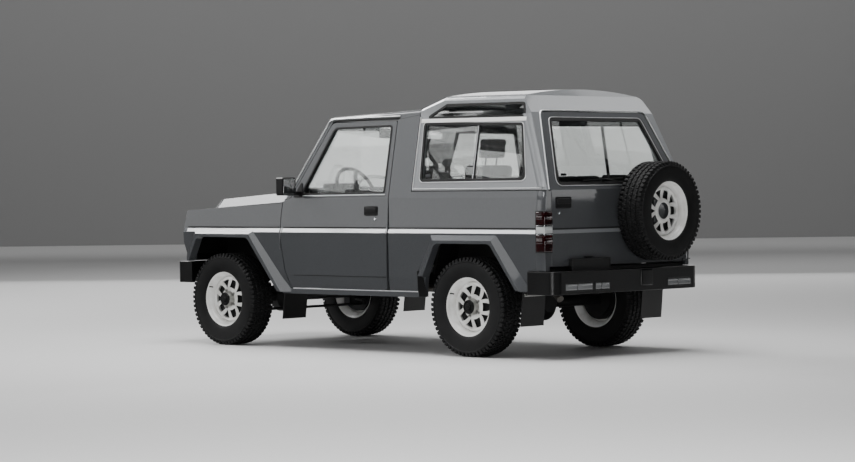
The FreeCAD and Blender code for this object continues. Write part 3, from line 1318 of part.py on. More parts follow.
def front_seats():
    """The front seats: runners, cushion, backrest and headrest."""
    x0, x1, low = S.seat_x - S.seat_width / 2, S.seat_x + S.seat_width / 2, FLOOR_TOP
    front = S.seat_front
    cushion = [(front + 10, low + 105, 40), (front, low + 265, 60), (front + 80, low + 287, 60),
               (front + 480, low + 241, 20), (front + 500, low + 105, 20)]
    back = [(front + 440, low + 175, 40), (front + 570, low + 795, 44), (front + 670, low + 775, 44),
            (front + 580, low + 155, 50)]
    rest = [(front + 592, low + 807, 30), (front + 622, low + 975, 40), (front + 698, low + 955, 30),
            (front + 674, low + 795, 30)]
    seat = fused("front_seat", [
        padded("seat_cushion", "x", cushion, x0, x1), padded("seat_back", "x", back, x0 + 10, x1 - 10),
        padded("headrest", "x", rest, S.seat_x - 130, S.seat_x + 130),
        box("headrest_post", S.seat_x - 60, S.seat_x + 60, front + 625, front + 637, low + 755, low + 835),
        box("inner_runner", x0 + 50, x0 + 90, front + 60, front + 460, low, low + 107),
        box("outer_runner", x1 - 90, x1 - 50, front + 60, front + 460, low, low + 107),
    ])
    node("seat_left", together("seat_left", [seat]))
    node("seat_right", twin(seat))


def rear_bench():
    low, half, axle = FLOOR_TOP, S.bench_half, S.wheelbase
    cushion = [(axle - 370, low + 55, 30), (axle - 380, low + 215, 50), (axle + 30, low + 185, 20),
               (axle + 30, low + 55, 20)]
    back = [(axle + 10, low + 115, 36), (axle + 110, low + 705, 40), (axle + 200, low + 685, 40),
            (axle + 110, low + 105, 36)]
    leg = box("bench_leg", half - 120, half - 80, axle - 310, axle + 10, low, low + 57)
    node("rear_bench", fused("rear_bench", [
        padded("bench_cushion", "x", cushion, -half, half), padded("bench_back", "x", back, -half, half),
        leg, twin(leg),
    ]))


# Build the sub-parts
def build_shapes():
    """The sub-parts that are set as shapes: pressed panels, glass, tubes and springs."""
    for label, make in (
        ("floor_tub", floor_tub), ("windscreen_frame", windscreen_frame), ("hardtop", hardtop),
        ("cab_roof", cab_roof), ("bonnet", bonnet), ("tailgate", tailgate),
        ("tailgate_glass", tailgate_glass), ("body_glass", body_glass),
        ("steering_column", steering_column), ("dashboard", dashboard), ("roll_bar", roll_bar),
        ("exhaust", exhaust),
    ):
        shape_node(label, make())
    shape_node("inner_wings", pair(inner_wing()))
    shape_node("front_wings", pair(wing()))
    left_side = body_side()
    right_side = fuse([mirrored(left_side)] + tailgate_pin_brackets())
    shape_node("body_sides", Part.Compound([left_side, right_side]))
    for label, make in (("door", door), ("door_glass", door_glass), ("mirror", mirror)):
        left = make()
        shape_node(f"{label}_left", left)
        shape_node(f"{label}_right", mirrored(left))
    springs = [leaf_spring(station, S.hub_height + S.axle_tube_radius) for station in (0, S.wheelbase)]
    shape_node("leaf_springs", Part.Compound(springs + [mirrored(spring) for spring in springs]))


build_shapes()
for make_features in (
    chassis_frame, fuel_tank, mud_flaps, front_axle, rear_axle, steering, engine_block, driveline,
    front_panel, front_lamps, front_bumper, rear_bumper, rear_lamps, steering_wheel, front_seats,
    rear_bench, wheels,
):
    make_features()
doc.recompute()
for thing in doc.Objects:
    if {"Invalid", "Error"} & set(thing.State):
        raise RuntimeError(f"{thing.Name} did not recompute: {thing.State}")
for piece in NODES:
    if piece.Shape.isNull() or not piece.Shape.isValid() or not piece.Shape.Solids:
        raise RuntimeError(f"{piece.Label} has no valid solid")
os.makedirs("parts", exist_ok=True)
for piece in NODES:
    piece.Shape.exportStep(f"parts/{piece.Label}.step")
    print(piece.Label, len(piece.Shape.Solids), round(piece.Shape.Volume / 1e6, 2), "litres")
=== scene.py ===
# %% [markdown]
# An off-road car in the studio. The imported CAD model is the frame: every panel, wheel and hinge is
# already at its real size and place. This lesson dresses it, from the paint to the tyre treads.
# All lengths are in millimetres until the one function below turns them into Blender's metres.

# %% Load the frame
import json
import math

import bmesh
import bpy
from mathutils import Matrix, Vector

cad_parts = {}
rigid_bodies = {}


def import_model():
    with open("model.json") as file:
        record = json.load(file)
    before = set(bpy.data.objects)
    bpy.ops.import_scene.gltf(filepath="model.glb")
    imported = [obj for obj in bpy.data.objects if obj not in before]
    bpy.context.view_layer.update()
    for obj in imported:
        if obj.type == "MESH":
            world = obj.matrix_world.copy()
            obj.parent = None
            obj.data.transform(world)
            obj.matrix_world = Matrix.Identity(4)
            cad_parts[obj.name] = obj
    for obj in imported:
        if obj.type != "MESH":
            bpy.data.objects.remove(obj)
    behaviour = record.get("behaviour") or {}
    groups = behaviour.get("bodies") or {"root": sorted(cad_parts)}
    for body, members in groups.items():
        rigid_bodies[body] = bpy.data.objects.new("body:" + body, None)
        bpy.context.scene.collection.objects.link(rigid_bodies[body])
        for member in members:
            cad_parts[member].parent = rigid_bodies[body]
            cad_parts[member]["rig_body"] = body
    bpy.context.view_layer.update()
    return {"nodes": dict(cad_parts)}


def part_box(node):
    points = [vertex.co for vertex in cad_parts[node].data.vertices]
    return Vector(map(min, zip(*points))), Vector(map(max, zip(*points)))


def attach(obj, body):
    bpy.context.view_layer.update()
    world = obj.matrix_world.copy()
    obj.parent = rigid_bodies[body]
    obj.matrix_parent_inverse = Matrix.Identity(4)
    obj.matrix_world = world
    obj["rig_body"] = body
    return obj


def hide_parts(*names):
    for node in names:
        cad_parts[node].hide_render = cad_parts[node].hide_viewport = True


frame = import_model()
NODES = frame["nodes"]
MM = 0.001

# %% [markdown]
# Places on a car are given as stations: the distance behind the front axle. The front axle is where
# the middle of the front tyre is, so the frame itself gives the start of that ruler.

# %% Stations and plain helpers
tyre_low, tyre_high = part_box("tyre_front_left")
FRONT_AXLE = (tyre_low.y + tyre_high.y) / 2
REAR_AXLE_STATION = ((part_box("tyre_rear_left")[0].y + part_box("tyre_rear_left")[1].y) / 2 - FRONT_AXLE) / MM


def spot(x, station, height):
    """A point of the car in metres, from millimetres."""
    return Vector((x * MM, FRONT_AXLE + station * MM, height * MM))


def station_of(point):
    return (point.y - FRONT_AXLE) / MM


print("the wheelbase is", round(REAR_AXLE_STATION), "mm")

# %% [markdown]
# A material is a small graph. One function turns a hex colour into linear light, one adds a node
# with its settings and links, and one starts a material with the shader that all finishes share.

# %% Material helpers
def colour(hex_text):
    """A hex colour as screens show it, turned into the linear values that a shader needs."""
    channels = [int(hex_text[i:i + 2], 16) / 255 for i in (1, 3, 5)]
    linear = [c / 12.92 if c <= 0.04045 else ((c + 0.055) / 1.055) ** 2.4 for c in channels]
    return (*linear, 1.0)


def add_node(tree, kind, inputs=None, stops=(), **settings):
    """A node with its settings; an input is a value or a socket, and stops are a ramp's colours."""
    node = tree.nodes.new(kind)
    for name, value in settings.items():
        setattr(node, name, value)
    for socket, value in (inputs or {}).items():
        if isinstance(value, bpy.types.NodeSocket):
            tree.links.new(value, node.inputs[socket])
        else:
            node.inputs[socket].default_value = value
    for i, (share, hex_text) in enumerate(stops):
        stop = node.color_ramp.elements[i]
        stop.position, stop.color = share, colour(hex_text)
    return node


def new_finish(name, **shader_inputs):
    """A material with one Principled shader; gives the material, its tree, shader and coordinates."""
    material = bpy.data.materials.new(name)
    material.use_nodes = True
    tree = material.node_tree
    shader = tree.nodes["Principled BSDF"]
    for socket, value in shader_inputs.items():
        shader.inputs[socket.replace("_", " ")].default_value = value
    place = add_node(tree, "ShaderNodeTexCoord").outputs["Object"]
    return material, tree, shader, place


def link(tree, source, target):
    tree.links.new(source, target)


def repeats_per_metre(size_mm):
    """The scale of a texture whose features are that many millimetres apart."""
    return 1000 / size_mm


def waves_per_metre(size_mm):
    """The scale of a wave texture, which draws about 6.28 waves where others have one feature."""
    return repeats_per_metre(size_mm) / 6.28


print("a thread every 4 mm is a wave scale of", round(waves_per_metre(4), 1))

# %% [markdown]
# Metallic enamel: a grey base coat with aluminium flakes, baked under clear lacquer. The flakes make
# the colour sparkle a little from point to point, and the lacquer gives sharp reflections with the
# faint ripple that painters call orange peel. Real flakes are 0.05 mm; they are drawn at 2 mm.

# %% Enamel
def metallic_enamel(name, base_hex, flake_hex):
    material, tree, shader, place = new_finish(
        name, Metallic=0.35, Roughness=0.36, IOR=1.5, Coat_Weight=1.0, Coat_Roughness=0.035)
    flakes = add_node(tree, "ShaderNodeTexNoise", {
        "Vector": place, "Scale": repeats_per_metre(2), "Detail": 2.0})
    sparkle = add_node(tree, "ShaderNodeValToRGB", {"Fac": flakes.outputs["Fac"]},
                       stops=((0.35, base_hex), (0.70, flake_hex)))
    link(tree, sparkle.outputs["Color"], shader.inputs["Base Color"])
    peel = add_node(tree, "ShaderNodeTexNoise", {
        "Vector": place, "Scale": repeats_per_metre(9), "Detail": 1.0})
    ripple = add_node(tree, "ShaderNodeBump", {
        "Height": peel.outputs["Fac"], "Strength": 0.012, "Distance": 0.002})
    link(tree, ripple.outputs["Normal"], shader.inputs["Coat Normal"])
    return material


body_enamel = metallic_enamel("body_enamel", "#45474A", "#5A5C5F")
hardtop_enamel = metallic_enamel("hardtop_enamel", "#818386", "#979A9C")

# %% [markdown]
# Moulded plastic: bumpers, mirrors and guards are grained polypropylene, nearly black. The mould
# leaves a leathery grain about a millimetre wide, which breaks reflections into a soft sheen.

# %% Moulded plastic
def grained_plastic(name, hex_text, roughness, grain_mm, depth):
    material, tree, shader, place = new_finish(
        name, Base_Color=colour(hex_text), Roughness=roughness, IOR=1.49)
    grain = add_node(tree, "ShaderNodeTexVoronoi", {"Vector": place, "Scale": repeats_per_metre(grain_mm)})
    relief = add_node(tree, "ShaderNodeBump", {
        "Height": grain.outputs["Distance"], "Strength": depth, "Distance": 0.0006})
    wear = add_node(tree, "ShaderNodeTexNoise", {
        "Vector": place, "Scale": repeats_per_metre(90), "Detail": 4.0})
    patches = add_node(tree, "ShaderNodeMapRange", {
        "Value": wear.outputs["Fac"], "To Min": roughness - 0.06, "To Max": roughness + 0.10})
    link(tree, patches.outputs["Result"], shader.inputs["Roughness"])
    link(tree, relief.outputs["Normal"], shader.inputs["Normal"])
    return material


bumper_plastic = grained_plastic("bumper_polypropylene", "#060607", 0.3, 1.6, 0.2)
cabin_plastic = grained_plastic("cabin_abs", "#25272A", 0.55, 2.2, 0.5)
seal_rubber = grained_plastic("epdm_seal_rubber", "#060606", 0.42, 1.2, 0.12)
print("enamel and plastics:", [material.name for material in bpy.data.materials])

# %% [markdown]
# Tyre rubber is carbon-black filled and cured against a polished mould, so the side wall is dark with a low
# sheen, and faint grey clouds of dust lie over the whole tyre.

# %% Tyre rubber
def tyre_rubber():
    material, tree, shader, place = new_finish("cured_tyre_rubber", Roughness=0.62, IOR=1.42)
    dust = add_node(tree, "ShaderNodeTexNoise", {
        "Vector": place, "Scale": repeats_per_metre(60), "Detail": 6.0})
    tint = add_node(tree, "ShaderNodeValToRGB", {"Fac": dust.outputs["Fac"]},
                    stops=((0.35, "#070708"), (0.75, "#121213")))
    link(tree, tint.outputs["Color"], shader.inputs["Base Color"])
    pores = add_node(tree, "ShaderNodeTexNoise", {
        "Vector": place, "Scale": repeats_per_metre(3), "Detail": 3.0})
    relief = add_node(tree, "ShaderNodeBump", {
        "Height": pores.outputs["Fac"], "Strength": 0.12, "Distance": 0.0006})
    link(tree, relief.outputs["Normal"], shader.inputs["Normal"])
    return material


tyre_black = tyre_rubber()

# %% [markdown]
# The wheels are pressed steel in pale enamel. It is a solid colour without flakes, a little soft in
# its gloss, with brake dust that gathers in faint clouds.

# %% Wheel enamel and bright metals
def wheel_paint():
    material, tree, shader, place = new_finish(
        "wheel_enamel", Roughness=0.32, Coat_Weight=0.5, Coat_Roughness=0.08)
    dust = add_node(tree, "ShaderNodeTexNoise", {
        "Vector": place, "Scale": repeats_per_metre(70), "Detail": 5.0})
    clouds = add_node(tree, "ShaderNodeValToRGB", {"Fac": dust.outputs["Fac"]},
                      stops=((0.30, "#DAD9D5"), (0.62, "#F2F2F0")))
    link(tree, clouds.outputs["Color"], shader.inputs["Base Color"])
    return material


def bright_metal(name, hex_text, roughness):
    material, tree, shader, place = new_finish(
        name, Base_Color=colour(hex_text), Metallic=1.0, Roughness=roughness)
    marks = add_node(tree, "ShaderNodeTexNoise", {
        "Vector": place, "Scale": repeats_per_metre(14), "Detail": 4.0})
    spread = add_node(tree, "ShaderNodeMapRange", {
        "Value": marks.outputs["Fac"], "To Min": roughness * 0.7, "To Max": roughness * 1.5})
    link(tree, spread.outputs["Result"], shader.inputs["Roughness"])
    return material


wheel_enamel = wheel_paint()
chrome = bright_metal("chrome_plate", "#D6D8DA", 0.06)
zinc_steel = bright_metal("zinc_plated_steel", "#A9A9A6", 0.3)

# %% [markdown]
# Under the body the parts are rough: black chassis paint over welded steel, cast iron axles, and an
# exhaust of aluminised steel. A coarse, low relief shows that they were cast or rolled.

# %% Underbody finishes
WORN_GAIN = 1.8


def rough_iron(name, hex_text, metallic, roughness, lump_mm):
    material, tree, shader, place = new_finish(name, Metallic=metallic, Roughness=roughness)
    lumps = add_node(tree, "ShaderNodeTexNoise", {
        "Vector": place, "Scale": repeats_per_metre(lump_mm), "Detail": 6.0})
    worn = tuple(c * WORN_GAIN for c in colour(hex_text)[:3]) + (1.0,)
    tint = add_node(tree, "ShaderNodeMix", {"Factor": lumps.outputs["Fac"]}, data_type="RGBA")
    tint.inputs["A"].default_value, tint.inputs["B"].default_value = colour(hex_text), worn
    link(tree, tint.outputs["Result"], shader.inputs["Base Color"])
    relief = add_node(tree, "ShaderNodeBump", {
        "Height": lumps.outputs["Fac"], "Strength": 0.3, "Distance": 0.001})
    link(tree, relief.outputs["Normal"], shader.inputs["Normal"])
    return material


chassis_paint = rough_iron("chassis_paint", "#060606", 0.0, 0.5, 12)
cast_iron = rough_iron("cast_iron", "#0E0E0F", 0.2, 0.6, 5)
engine_iron = rough_iron("engine_iron", "#1C1D1E", 0.4, 0.6, 6)
exhaust_steel = rough_iron("aluminised_steel", "#4B4845", 0.8, 0.5, 20)

# %% [markdown]
# Window glass is 5 mm float glass with a faint green-grey tint. About half of it bends light as real
# glass does, and the rest lets light pass straight on, so that the cabin behind it is lit and not
# black. Its index is lower than that of real glass, which keeps the glare of the floor faint.

# %% Glass
GLASS_INDEX, GLASS_SOLID = 1.25, 0.55
pane_glass, tree, shader, place = new_finish(
    "float_glass", Base_Color=colour("#EEF2F0"), Roughness=0.0, IOR=GLASS_INDEX, Transmission_Weight=1.0,
    Alpha=GLASS_SOLID)
streaks = add_node(tree, "ShaderNodeTexNoise", {
    "Vector": place, "Scale": repeats_per_metre(300), "Detail": 2.0})
haze = add_node(tree, "ShaderNodeMapRange", {
    "Value": streaks.outputs["Fac"], "To Min": 0.0, "To Max": 0.012})
link(tree, haze.outputs["Result"], shader.inputs["Roughness"])
pane_glass.surface_render_method = "BLENDED"
print("window glass with an index of", GLASS_INDEX)

# %% [markdown]
# Seats are woven cloth: threads cross at right angles, and the nap gives a soft sheen at grazing
# angles. Real threads are 2 mm apart; they are drawn 4 mm apart so that they show.

# %% Seat cloth
def woven_cloth(name, warp_hex, weft_hex, thread_mm):
    material, tree, shader, place = new_finish(name, Roughness=0.92, Sheen_Weight=0.25, Sheen_Roughness=0.4)
    threads = {"Vector": place, "Scale": waves_per_metre(thread_mm)}
    warp = add_node(tree, "ShaderNodeTexWave", threads, bands_direction="X")
    weft = add_node(tree, "ShaderNodeTexWave", threads, bands_direction="Z")
    weave = add_node(tree, "ShaderNodeMath", {0: warp.outputs["Fac"], 1: weft.outputs["Fac"]},
                     operation="MULTIPLY")
    tint = add_node(tree, "ShaderNodeMix", {"Factor": weave.outputs["Value"]}, data_type="RGBA")
    tint.inputs["A"].default_value, tint.inputs["B"].default_value = colour(warp_hex), colour(weft_hex)
    link(tree, tint.outputs["Result"], shader.inputs["Base Color"])
    relief = add_node(tree, "ShaderNodeBump", {
        "Height": weave.outputs["Value"], "Strength": 0.4, "Distance": 0.0008})
    link(tree, relief.outputs["Normal"], shader.inputs["Normal"])
    return material


seat_cloth = woven_cloth("seat_tweed", "#1E1F22", "#3A3C40", 4)

# %% [markdown]
# Lamp lenses are moulded acrylic. A lens has prisms on its inside, so a grid of ribs shows under a
# smooth outer face. The real lens hides its bulb, so the shader needs no transmission.

# %% Lamp lenses
def lamp_lens(name, hex_text, rib_mm):
    material, tree, shader, place = new_finish(
        name, Base_Color=colour(hex_text), Roughness=0.12, IOR=1.49, Coat_Weight=1.0, Coat_Roughness=0.02)
    ribs = add_node(tree, "ShaderNodeTexWave", {"Vector": place, "Scale": waves_per_metre(rib_mm)},
                    bands_direction="X")
    rows = add_node(tree, "ShaderNodeTexWave", {"Vector": place, "Scale": waves_per_metre(rib_mm * 2)},
                    bands_direction="Z")
    grid = add_node(tree, "ShaderNodeMath", {0: ribs.outputs["Fac"], 1: rows.outputs["Fac"]},
                    operation="ADD")
    relief = add_node(tree, "ShaderNodeBump", {
        "Height": grid.outputs["Value"], "Strength": 0.2, "Distance": 0.002})
    link(tree, relief.outputs["Normal"], shader.inputs["Normal"])
    return material


red_lens = lamp_lens("red_acrylic", "#1E0204", 6)
amber_lens = lamp_lens("amber_acrylic", "#8A5A2C", 6)
clear_lens = lamp_lens("clear_acrylic", "#B9BBBB", 6)
smoked_lens = lamp_lens("smoked_acrylic", "#77797A", 9)
reflector = bright_metal("lamp_reflector", "#E6E8EA", 0.12)
mirror_glass = bright_metal("silvered_glass", "#F2F4F5", 0.02)
print(len(bpy.data.materials), "materials so far")

# %% [markdown]
# The CAD panels have knife edges, but pressed steel has radii of a few millimetres, and those thin
# rounded edges catch the light. A copy of each panel is merged, its flat faces are joined, and a
# Bevel modifier rolls its edges, more widely at the rear corners and on the arch flares. Shallow
# pressed lines stay sharp, or the shading would smear over the large flat faces beside them. The
# copy stands for the CAD node, which stays as it was.

# %% Rounded panels
SHARP_FROM, ROLLED_FROM = 2.6, 12
CORNER_STATION, CORNER_X, UPRIGHT = 3150, 640, 0.8
FLARE_X, FLARE_TOP, FLARE_EDGE = 771, 885, 40


def roll_share(edge, roll_mm, wide_mm):
    """How much of the wide roll an edge gets: all of it on the rear corners and on the arch flares."""
    if edge.calc_face_angle(0) < math.radians(ROLLED_FROM):
        return 0
    middle = (edge.verts[0].co + edge.verts[1].co) / 2
    along = (edge.verts[1].co - edge.verts[0].co).normalized()
    x, z, length = abs(middle.x) / MM, middle.z / MM, edge.calc_length() / MM
    corner = station_of(middle) > CORNER_STATION and x > CORNER_X and abs(along.z) > UPRIGHT
    flare = x > FLARE_X and z < FLARE_TOP and length > FLARE_EDGE
    return 1 if corner or flare else roll_mm / wide_mm


def merged_copy(node, material, roll_mm, wide_mm):
    """A mesh of a CAD node with its flat faces joined, sharp where two faces meet at a line."""
    mesh = NODES[node].data.copy()
    mesh.materials.clear()
    mesh.materials.append(material)
    bm = bmesh.new()
    bm.from_mesh(mesh)
    bmesh.ops.remove_doubles(bm, verts=bm.verts, dist=0.02 * MM)
    bmesh.ops.dissolve_limit(bm, angle_limit=math.radians(0.4), verts=bm.verts, edges=bm.edges)
    bmesh.ops.recalc_face_normals(bm, faces=bm.faces)
    shares = bm.edges.layers.float.new("bevel_weight_edge")
    for edge in bm.edges:
        edge[shares] = roll_share(edge, roll_mm, wide_mm)
    bm.to_mesh(mesh)
    bm.free()
    mesh.shade_smooth()
    mesh.set_sharp_from_angle(angle=math.radians(SHARP_FROM))
    return mesh


def soften(piece, name):
    """One level of subdivision, which draws a coarse shape as smooth as it is made."""
    smooth = piece.modifiers.new(name, "SUBSURF")
    smooth.levels = smooth.render_levels = 1


def add_piece(name, shape, body):
    """An object for a mesh or wire that already lies in place, riding on a body of the frame."""
    piece = bpy.data.objects.new(name, shape)
    bpy.context.scene.collection.objects.link(piece)
    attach(piece, body)
    return piece


def roll_edges(piece, roll_mm, segments=3, from_angle=ROLLED_FROM):
    """A Bevel modifier that rounds the edges which turn by more than an angle."""
    roll = piece.modifiers.new("rolled_edges", "BEVEL")
    roll.width = roll_mm * MM
    roll.segments = segments
    roll.limit_method = "ANGLE"
    roll.angle_limit = math.radians(from_angle)
    roll.harden_normals = True
    return roll


def rounded_panel(node, material, roll_mm, wide_mm):
    mesh = merged_copy(node, material, roll_mm, wide_mm)
    piece = add_piece(f"{node}_pressing", mesh, NODES[node]["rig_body"])
    roll_edges(piece, wide_mm, segments=4).limit_method = "WEIGHT"
    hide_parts(node)
    return piece


PANELS = {
    "front_wings": (body_enamel, 8, 14), "body_sides": (body_enamel, 4, 18), "bonnet": (body_enamel, 5, 5),
    "door_left": (body_enamel, 4, 4), "door_right": (body_enamel, 4, 4), "tailgate": (body_enamel, 4, 4),
    "windscreen_frame": (body_enamel, 4, 4), "cab_roof": (body_enamel, 6, 6),
    "hardtop": (hardtop_enamel, 7, 22), "front_bumper": (bumper_plastic, 12, 12),
    "rear_bumper": (bumper_plastic, 18, 18),
}
for node, finish in PANELS.items():
    rounded_panel(node, *finish)
print(len(PANELS), "panels with rolled edges")

# %% [markdown]
# The other CAD nodes keep their own mesh and only get a finish. A loop goes through them, so that no
# node is left with the plain grey of the import.

# %% Finishes for the remaining nodes
FINISHES = {
    "chassis_frame": chassis_paint, "floor_tub": chassis_paint, "inner_wings": chassis_paint,
    "leaf_springs": chassis_paint, "fuel_tank": chassis_paint, "roll_bar": chassis_paint,
    "front_axle": cast_iron, "rear_axle": cast_iron, "knuckle_left": cast_iron, "knuckle_right": cast_iron,
    "tie_rod": cast_iron, "driveline": cast_iron, "engine_block": engine_iron, "exhaust": exhaust_steel,
    "front_panel": bumper_plastic, "front_lamps": clear_lens, "rear_lamps": red_lens,
    "mirror_left": bumper_plastic, "mirror_right": bumper_plastic, "mud_flaps": seal_rubber,
    "dashboard": cabin_plastic, "steering_column": cabin_plastic, "steering_wheel": cabin_plastic,
    "seat_left": seat_cloth, "seat_right": seat_cloth, "rear_bench": seat_cloth,
    "body_glass": pane_glass, "door_glass_left": pane_glass, "door_glass_right": pane_glass,
    "tailgate_glass": pane_glass, "spare_tyre": tyre_black, "spare_rim": wheel_enamel,
}
for wheel in ("front_left", "front_right", "rear_left", "rear_right"):
    FINISHES[f"tyre_{wheel}"] = tyre_black
    FINISHES[f"rim_{wheel}"] = wheel_enamel
for node, material in FINISHES.items():
    mesh = NODES[node].data
    mesh.materials.clear()
    mesh.materials.append(material)
    mesh.shade_smooth()
    mesh.set_sharp_from_angle(angle=math.radians(30))
print(len(FINISHES), "nodes keep their CAD mesh")

# %% [markdown]
# A tyre has a smooth carcass and a tread of blocks. The carcass is one profile spun round the axle.
# A pitch of the tread, five blocks wide, is made once from cubes and spun in copies. The wheel is
# built at the origin with its axle along X and its face towards +X, and is placed at the end.

# %% Tools for turned shapes
X_AXIS = Vector((1, 0, 0))


def turn_round(bm, degrees, axis, verts=None):
    """Turns some points, or the whole shape, round an axis through the origin."""
    bmesh.ops.rotate(bm, cent=(0, 0, 0), matrix=Matrix.Rotation(math.radians(degrees), 3, axis),
                     verts=verts or bm.verts)


def spin_profile(bm, profile, steps, closed=True):
    """A turned shape about the X axis, from (x, radius) pairs in millimetres."""
    verts = [bm.verts.new((x * MM, 0, radius * MM)) for x, radius in profile]
    pairs = list(zip(verts, verts[1:])) + ([(verts[-1], verts[0])] if closed else [])
    edges = [bm.edges.new(pair) for pair in pairs]
    before = set(bm.faces)
    bmesh.ops.spin(bm, geom=edges + verts, cent=(0, 0, 0), axis=X_AXIS, angle=math.tau, steps=steps,
                   use_merge=True)
    bmesh.ops.remove_doubles(bm, verts=bm.verts, dist=0.01 * MM)
    faces = [face for face in bm.faces if face not in before]
    bmesh.ops.recalc_face_normals(bm, faces=faces)
    return faces


def place_wheel(bm, middle, facing):
    """Turns a wheel's face from +X to a heading in degrees and moves it to its middle."""
    turn_round(bm, facing, "Z")
    bmesh.ops.translate(bm, vec=middle, verts=bm.verts)


def mesh_piece(name, bm, materials, body, sharp=None):
    """Writes a bmesh to a new piece on a body, smooth apart from edges over an angle."""
    mesh = bpy.data.meshes.new(name)
    bm.to_mesh(mesh)
    bm.free()
    for material in materials if isinstance(materials, (list, tuple)) else [materials]:
        mesh.materials.append(material)
    mesh.shade_smooth()
    if sharp is not None:
        mesh.set_sharp_from_angle(angle=math.radians(sharp))
    return add_piece(name, mesh, body)


# %% Sizes of a wheel, read from the frame
TYRE_RADIUS = (tyre_high.z - tyre_low.z) / 2 / MM
TYRE_HALF = (tyre_high.x - tyre_low.x) / 2 / MM
rim_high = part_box("rim_front_left")[1]
RIM_FACE = (rim_high.x - (tyre_low.x + tyre_high.x) / 2) / MM - 6
TREAD_BASE = TYRE_RADIUS - 11
print("tyre", round(TYRE_RADIUS), "by", round(TYRE_HALF * 2), "mm, rim face at", round(RIM_FACE))

# %% [markdown]
# The tread of an all-terrain tyre: square shoulder lugs that run down the side, and zigzag ribs
# between them. A zigzag comes from shearing every second block the other way. Each lug is tapered
# towards its top, as it has to leave the mould, and its edges are rolled.

# %% Tread and carcass
CARCASS = [
    (86, 206), (94, 209), (99, 216), (103, 232), (106.5, 256), (107, 280), (105.5, 300), (103.5, 311),
    (107, 314), (106.5, 318), (101, 321), (95, 328), (86, 334), (60, TREAD_BASE), (0, TREAD_BASE + 1),
]
PITCHES, LUG_TAPER, SHOULDER_X = 60, 0.86, 84
PITCH = math.tau * TYRE_RADIUS / PITCHES
RIB_PLACES, RIB_WIDTH, RIB_SHEAR = (-44, 0, 44), 33, 0.55


def roll_block(bm, verts, roll_mm, segments):
    """Rolls the edges of one block."""
    edges = list(dict.fromkeys(edge for vert in verts for edge in vert.link_edges))
    bmesh.ops.bevel(bm, geom=edges, affect="EDGES", offset=roll_mm * MM, segments=segments, profile=0.5,
                    material=-1)


def lug(bm, x, station, width, length, base, top, shear):
    """A block of the tread: tapered towards its top and sheared along the turn."""
    made = bmesh.ops.create_cube(bm, size=1)["verts"]
    for vert in made:
        share = LUG_TAPER if vert.co.z > 0 else 1.0
        across, along = vert.co.x * width * share, vert.co.y * length * share
        height = top if vert.co.z > 0 else base
        vert.co = Vector((x + across, station + along + shear * vert.co.x * length, height)) * MM
    roll_block(bm, made, 1.4, 1)


def tread_pitch(bm):
    """One pitch of the tread: two shoulder lugs and three staggered ribs."""
    for side in (1, -1):
        lug(bm, side * SHOULDER_X, PITCH * 0.25 * side, 34, PITCH * 0.62, TREAD_BASE - 9,
            TYRE_RADIUS - 2.5, 0.16 * side)
    for column, x in enumerate(RIB_PLACES):
        zigzag = RIB_SHEAR if column % 2 else -RIB_SHEAR
        lug(bm, x, PITCH * 0.25, RIB_WIDTH, PITCH * 0.5, TREAD_BASE - 3, TYRE_RADIUS - 0.3, zigzag)
        lug(bm, x, PITCH * -0.25, RIB_WIDTH, PITCH * 0.42, TREAD_BASE - 3, TYRE_RADIUS - 0.8, -zigzag)


def side_lug(bm, side):
    """The foot of a shoulder lug, which runs down over the edge of the tread."""
    made = bmesh.ops.create_cube(bm, size=1)["verts"]
    for vert in made:
        outer, high = vert.co.x > 0, vert.co.z > 0
        reach = (TYRE_HALF - 11 if high else TYRE_HALF + 1) if outer else SHOULDER_X
        height = TYRE_RADIUS - 3 if high else TYRE_RADIUS - 30
        along = vert.co.y * PITCH * (0.60 if outer else 0.64) + PITCH * 0.25 * side
        vert.co = Vector((side * reach, along, height)) * MM
    roll_block(bm, made, 2.2, 2)


def build_tyre(name, node, middle, facing):
    bm = bmesh.new()
    tread_pitch(bm)
    for side in (1, -1):
        side_lug(bm, side)
    bmesh.ops.recalc_face_normals(bm, faces=bm.faces)
    whole = list(bm.verts) + list(bm.edges) + list(bm.faces)
    bmesh.ops.spin(bm, geom=whole, cent=(0, 0, 0), axis=X_AXIS, angle=math.tau * (PITCHES - 1) / PITCHES,
                   steps=PITCHES - 1, use_duplicate=True)
    outline = CARCASS + [(-x, radius) for x, radius in reversed(CARCASS[:-1])]
    spin_profile(bm, outline, 144)
    place_wheel(bm, middle, facing)
    tyre = mesh_piece(name, bm, tyre_black, NODES[node]["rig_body"], sharp=32)
    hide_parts(node)
    return tyre


# %% [markdown]
# A pressed steel wheel: a rolled rim with a stepped well, and a disc welded inside it. The disc is a
# grid wrapped into a ring, so that its windows are simply faces left out. Slanted spokes come from
# moving the grid's columns round by a different amount on each row. Solidify gives it the thickness
# of sheet steel, and a subdivision surface draws it like a pressing.

# %% Rim and disc
RIM_PROFILE = [
    (RIM_FACE, 205), (RIM_FACE + 3, 208), (RIM_FACE + 2, 212), (RIM_FACE - 2, 213), (RIM_FACE - 5, 208),
    (RIM_FACE - 9, 199), (RIM_FACE - 22, 196), (RIM_FACE - 26, 190), (RIM_FACE - 34, 186),
    (RIM_FACE - 52, 182), (-20, 168), (-50, 170), (-70, 192), (-82, 200), (-84, 211), (-88, 211),
    (-86, 196), (-74, 188), (-52, 165), (-20, 163), (RIM_FACE - 58, 177), (RIM_FACE - 40, 181),
    (RIM_FACE - 31, 184), (RIM_FACE - 24, 192), (RIM_FACE - 12, 195), (RIM_FACE - 4, 200),
]
DISC_FACE = RIM_FACE - 56
SPOKES, SPOKE_COLUMNS = 5, 12
FIFTH = 360 / SPOKES
DISC_ROWS = [
    (58, 6), (64, 9), (76, 9), (84, 4), (89, 0), (108, -3), (128, -5), (148, -3), (155, 4), (163, 8),
    (172, 2), (178, -10),
]
WINDOW_FOOT, WINDOW_TOP = 89, 148
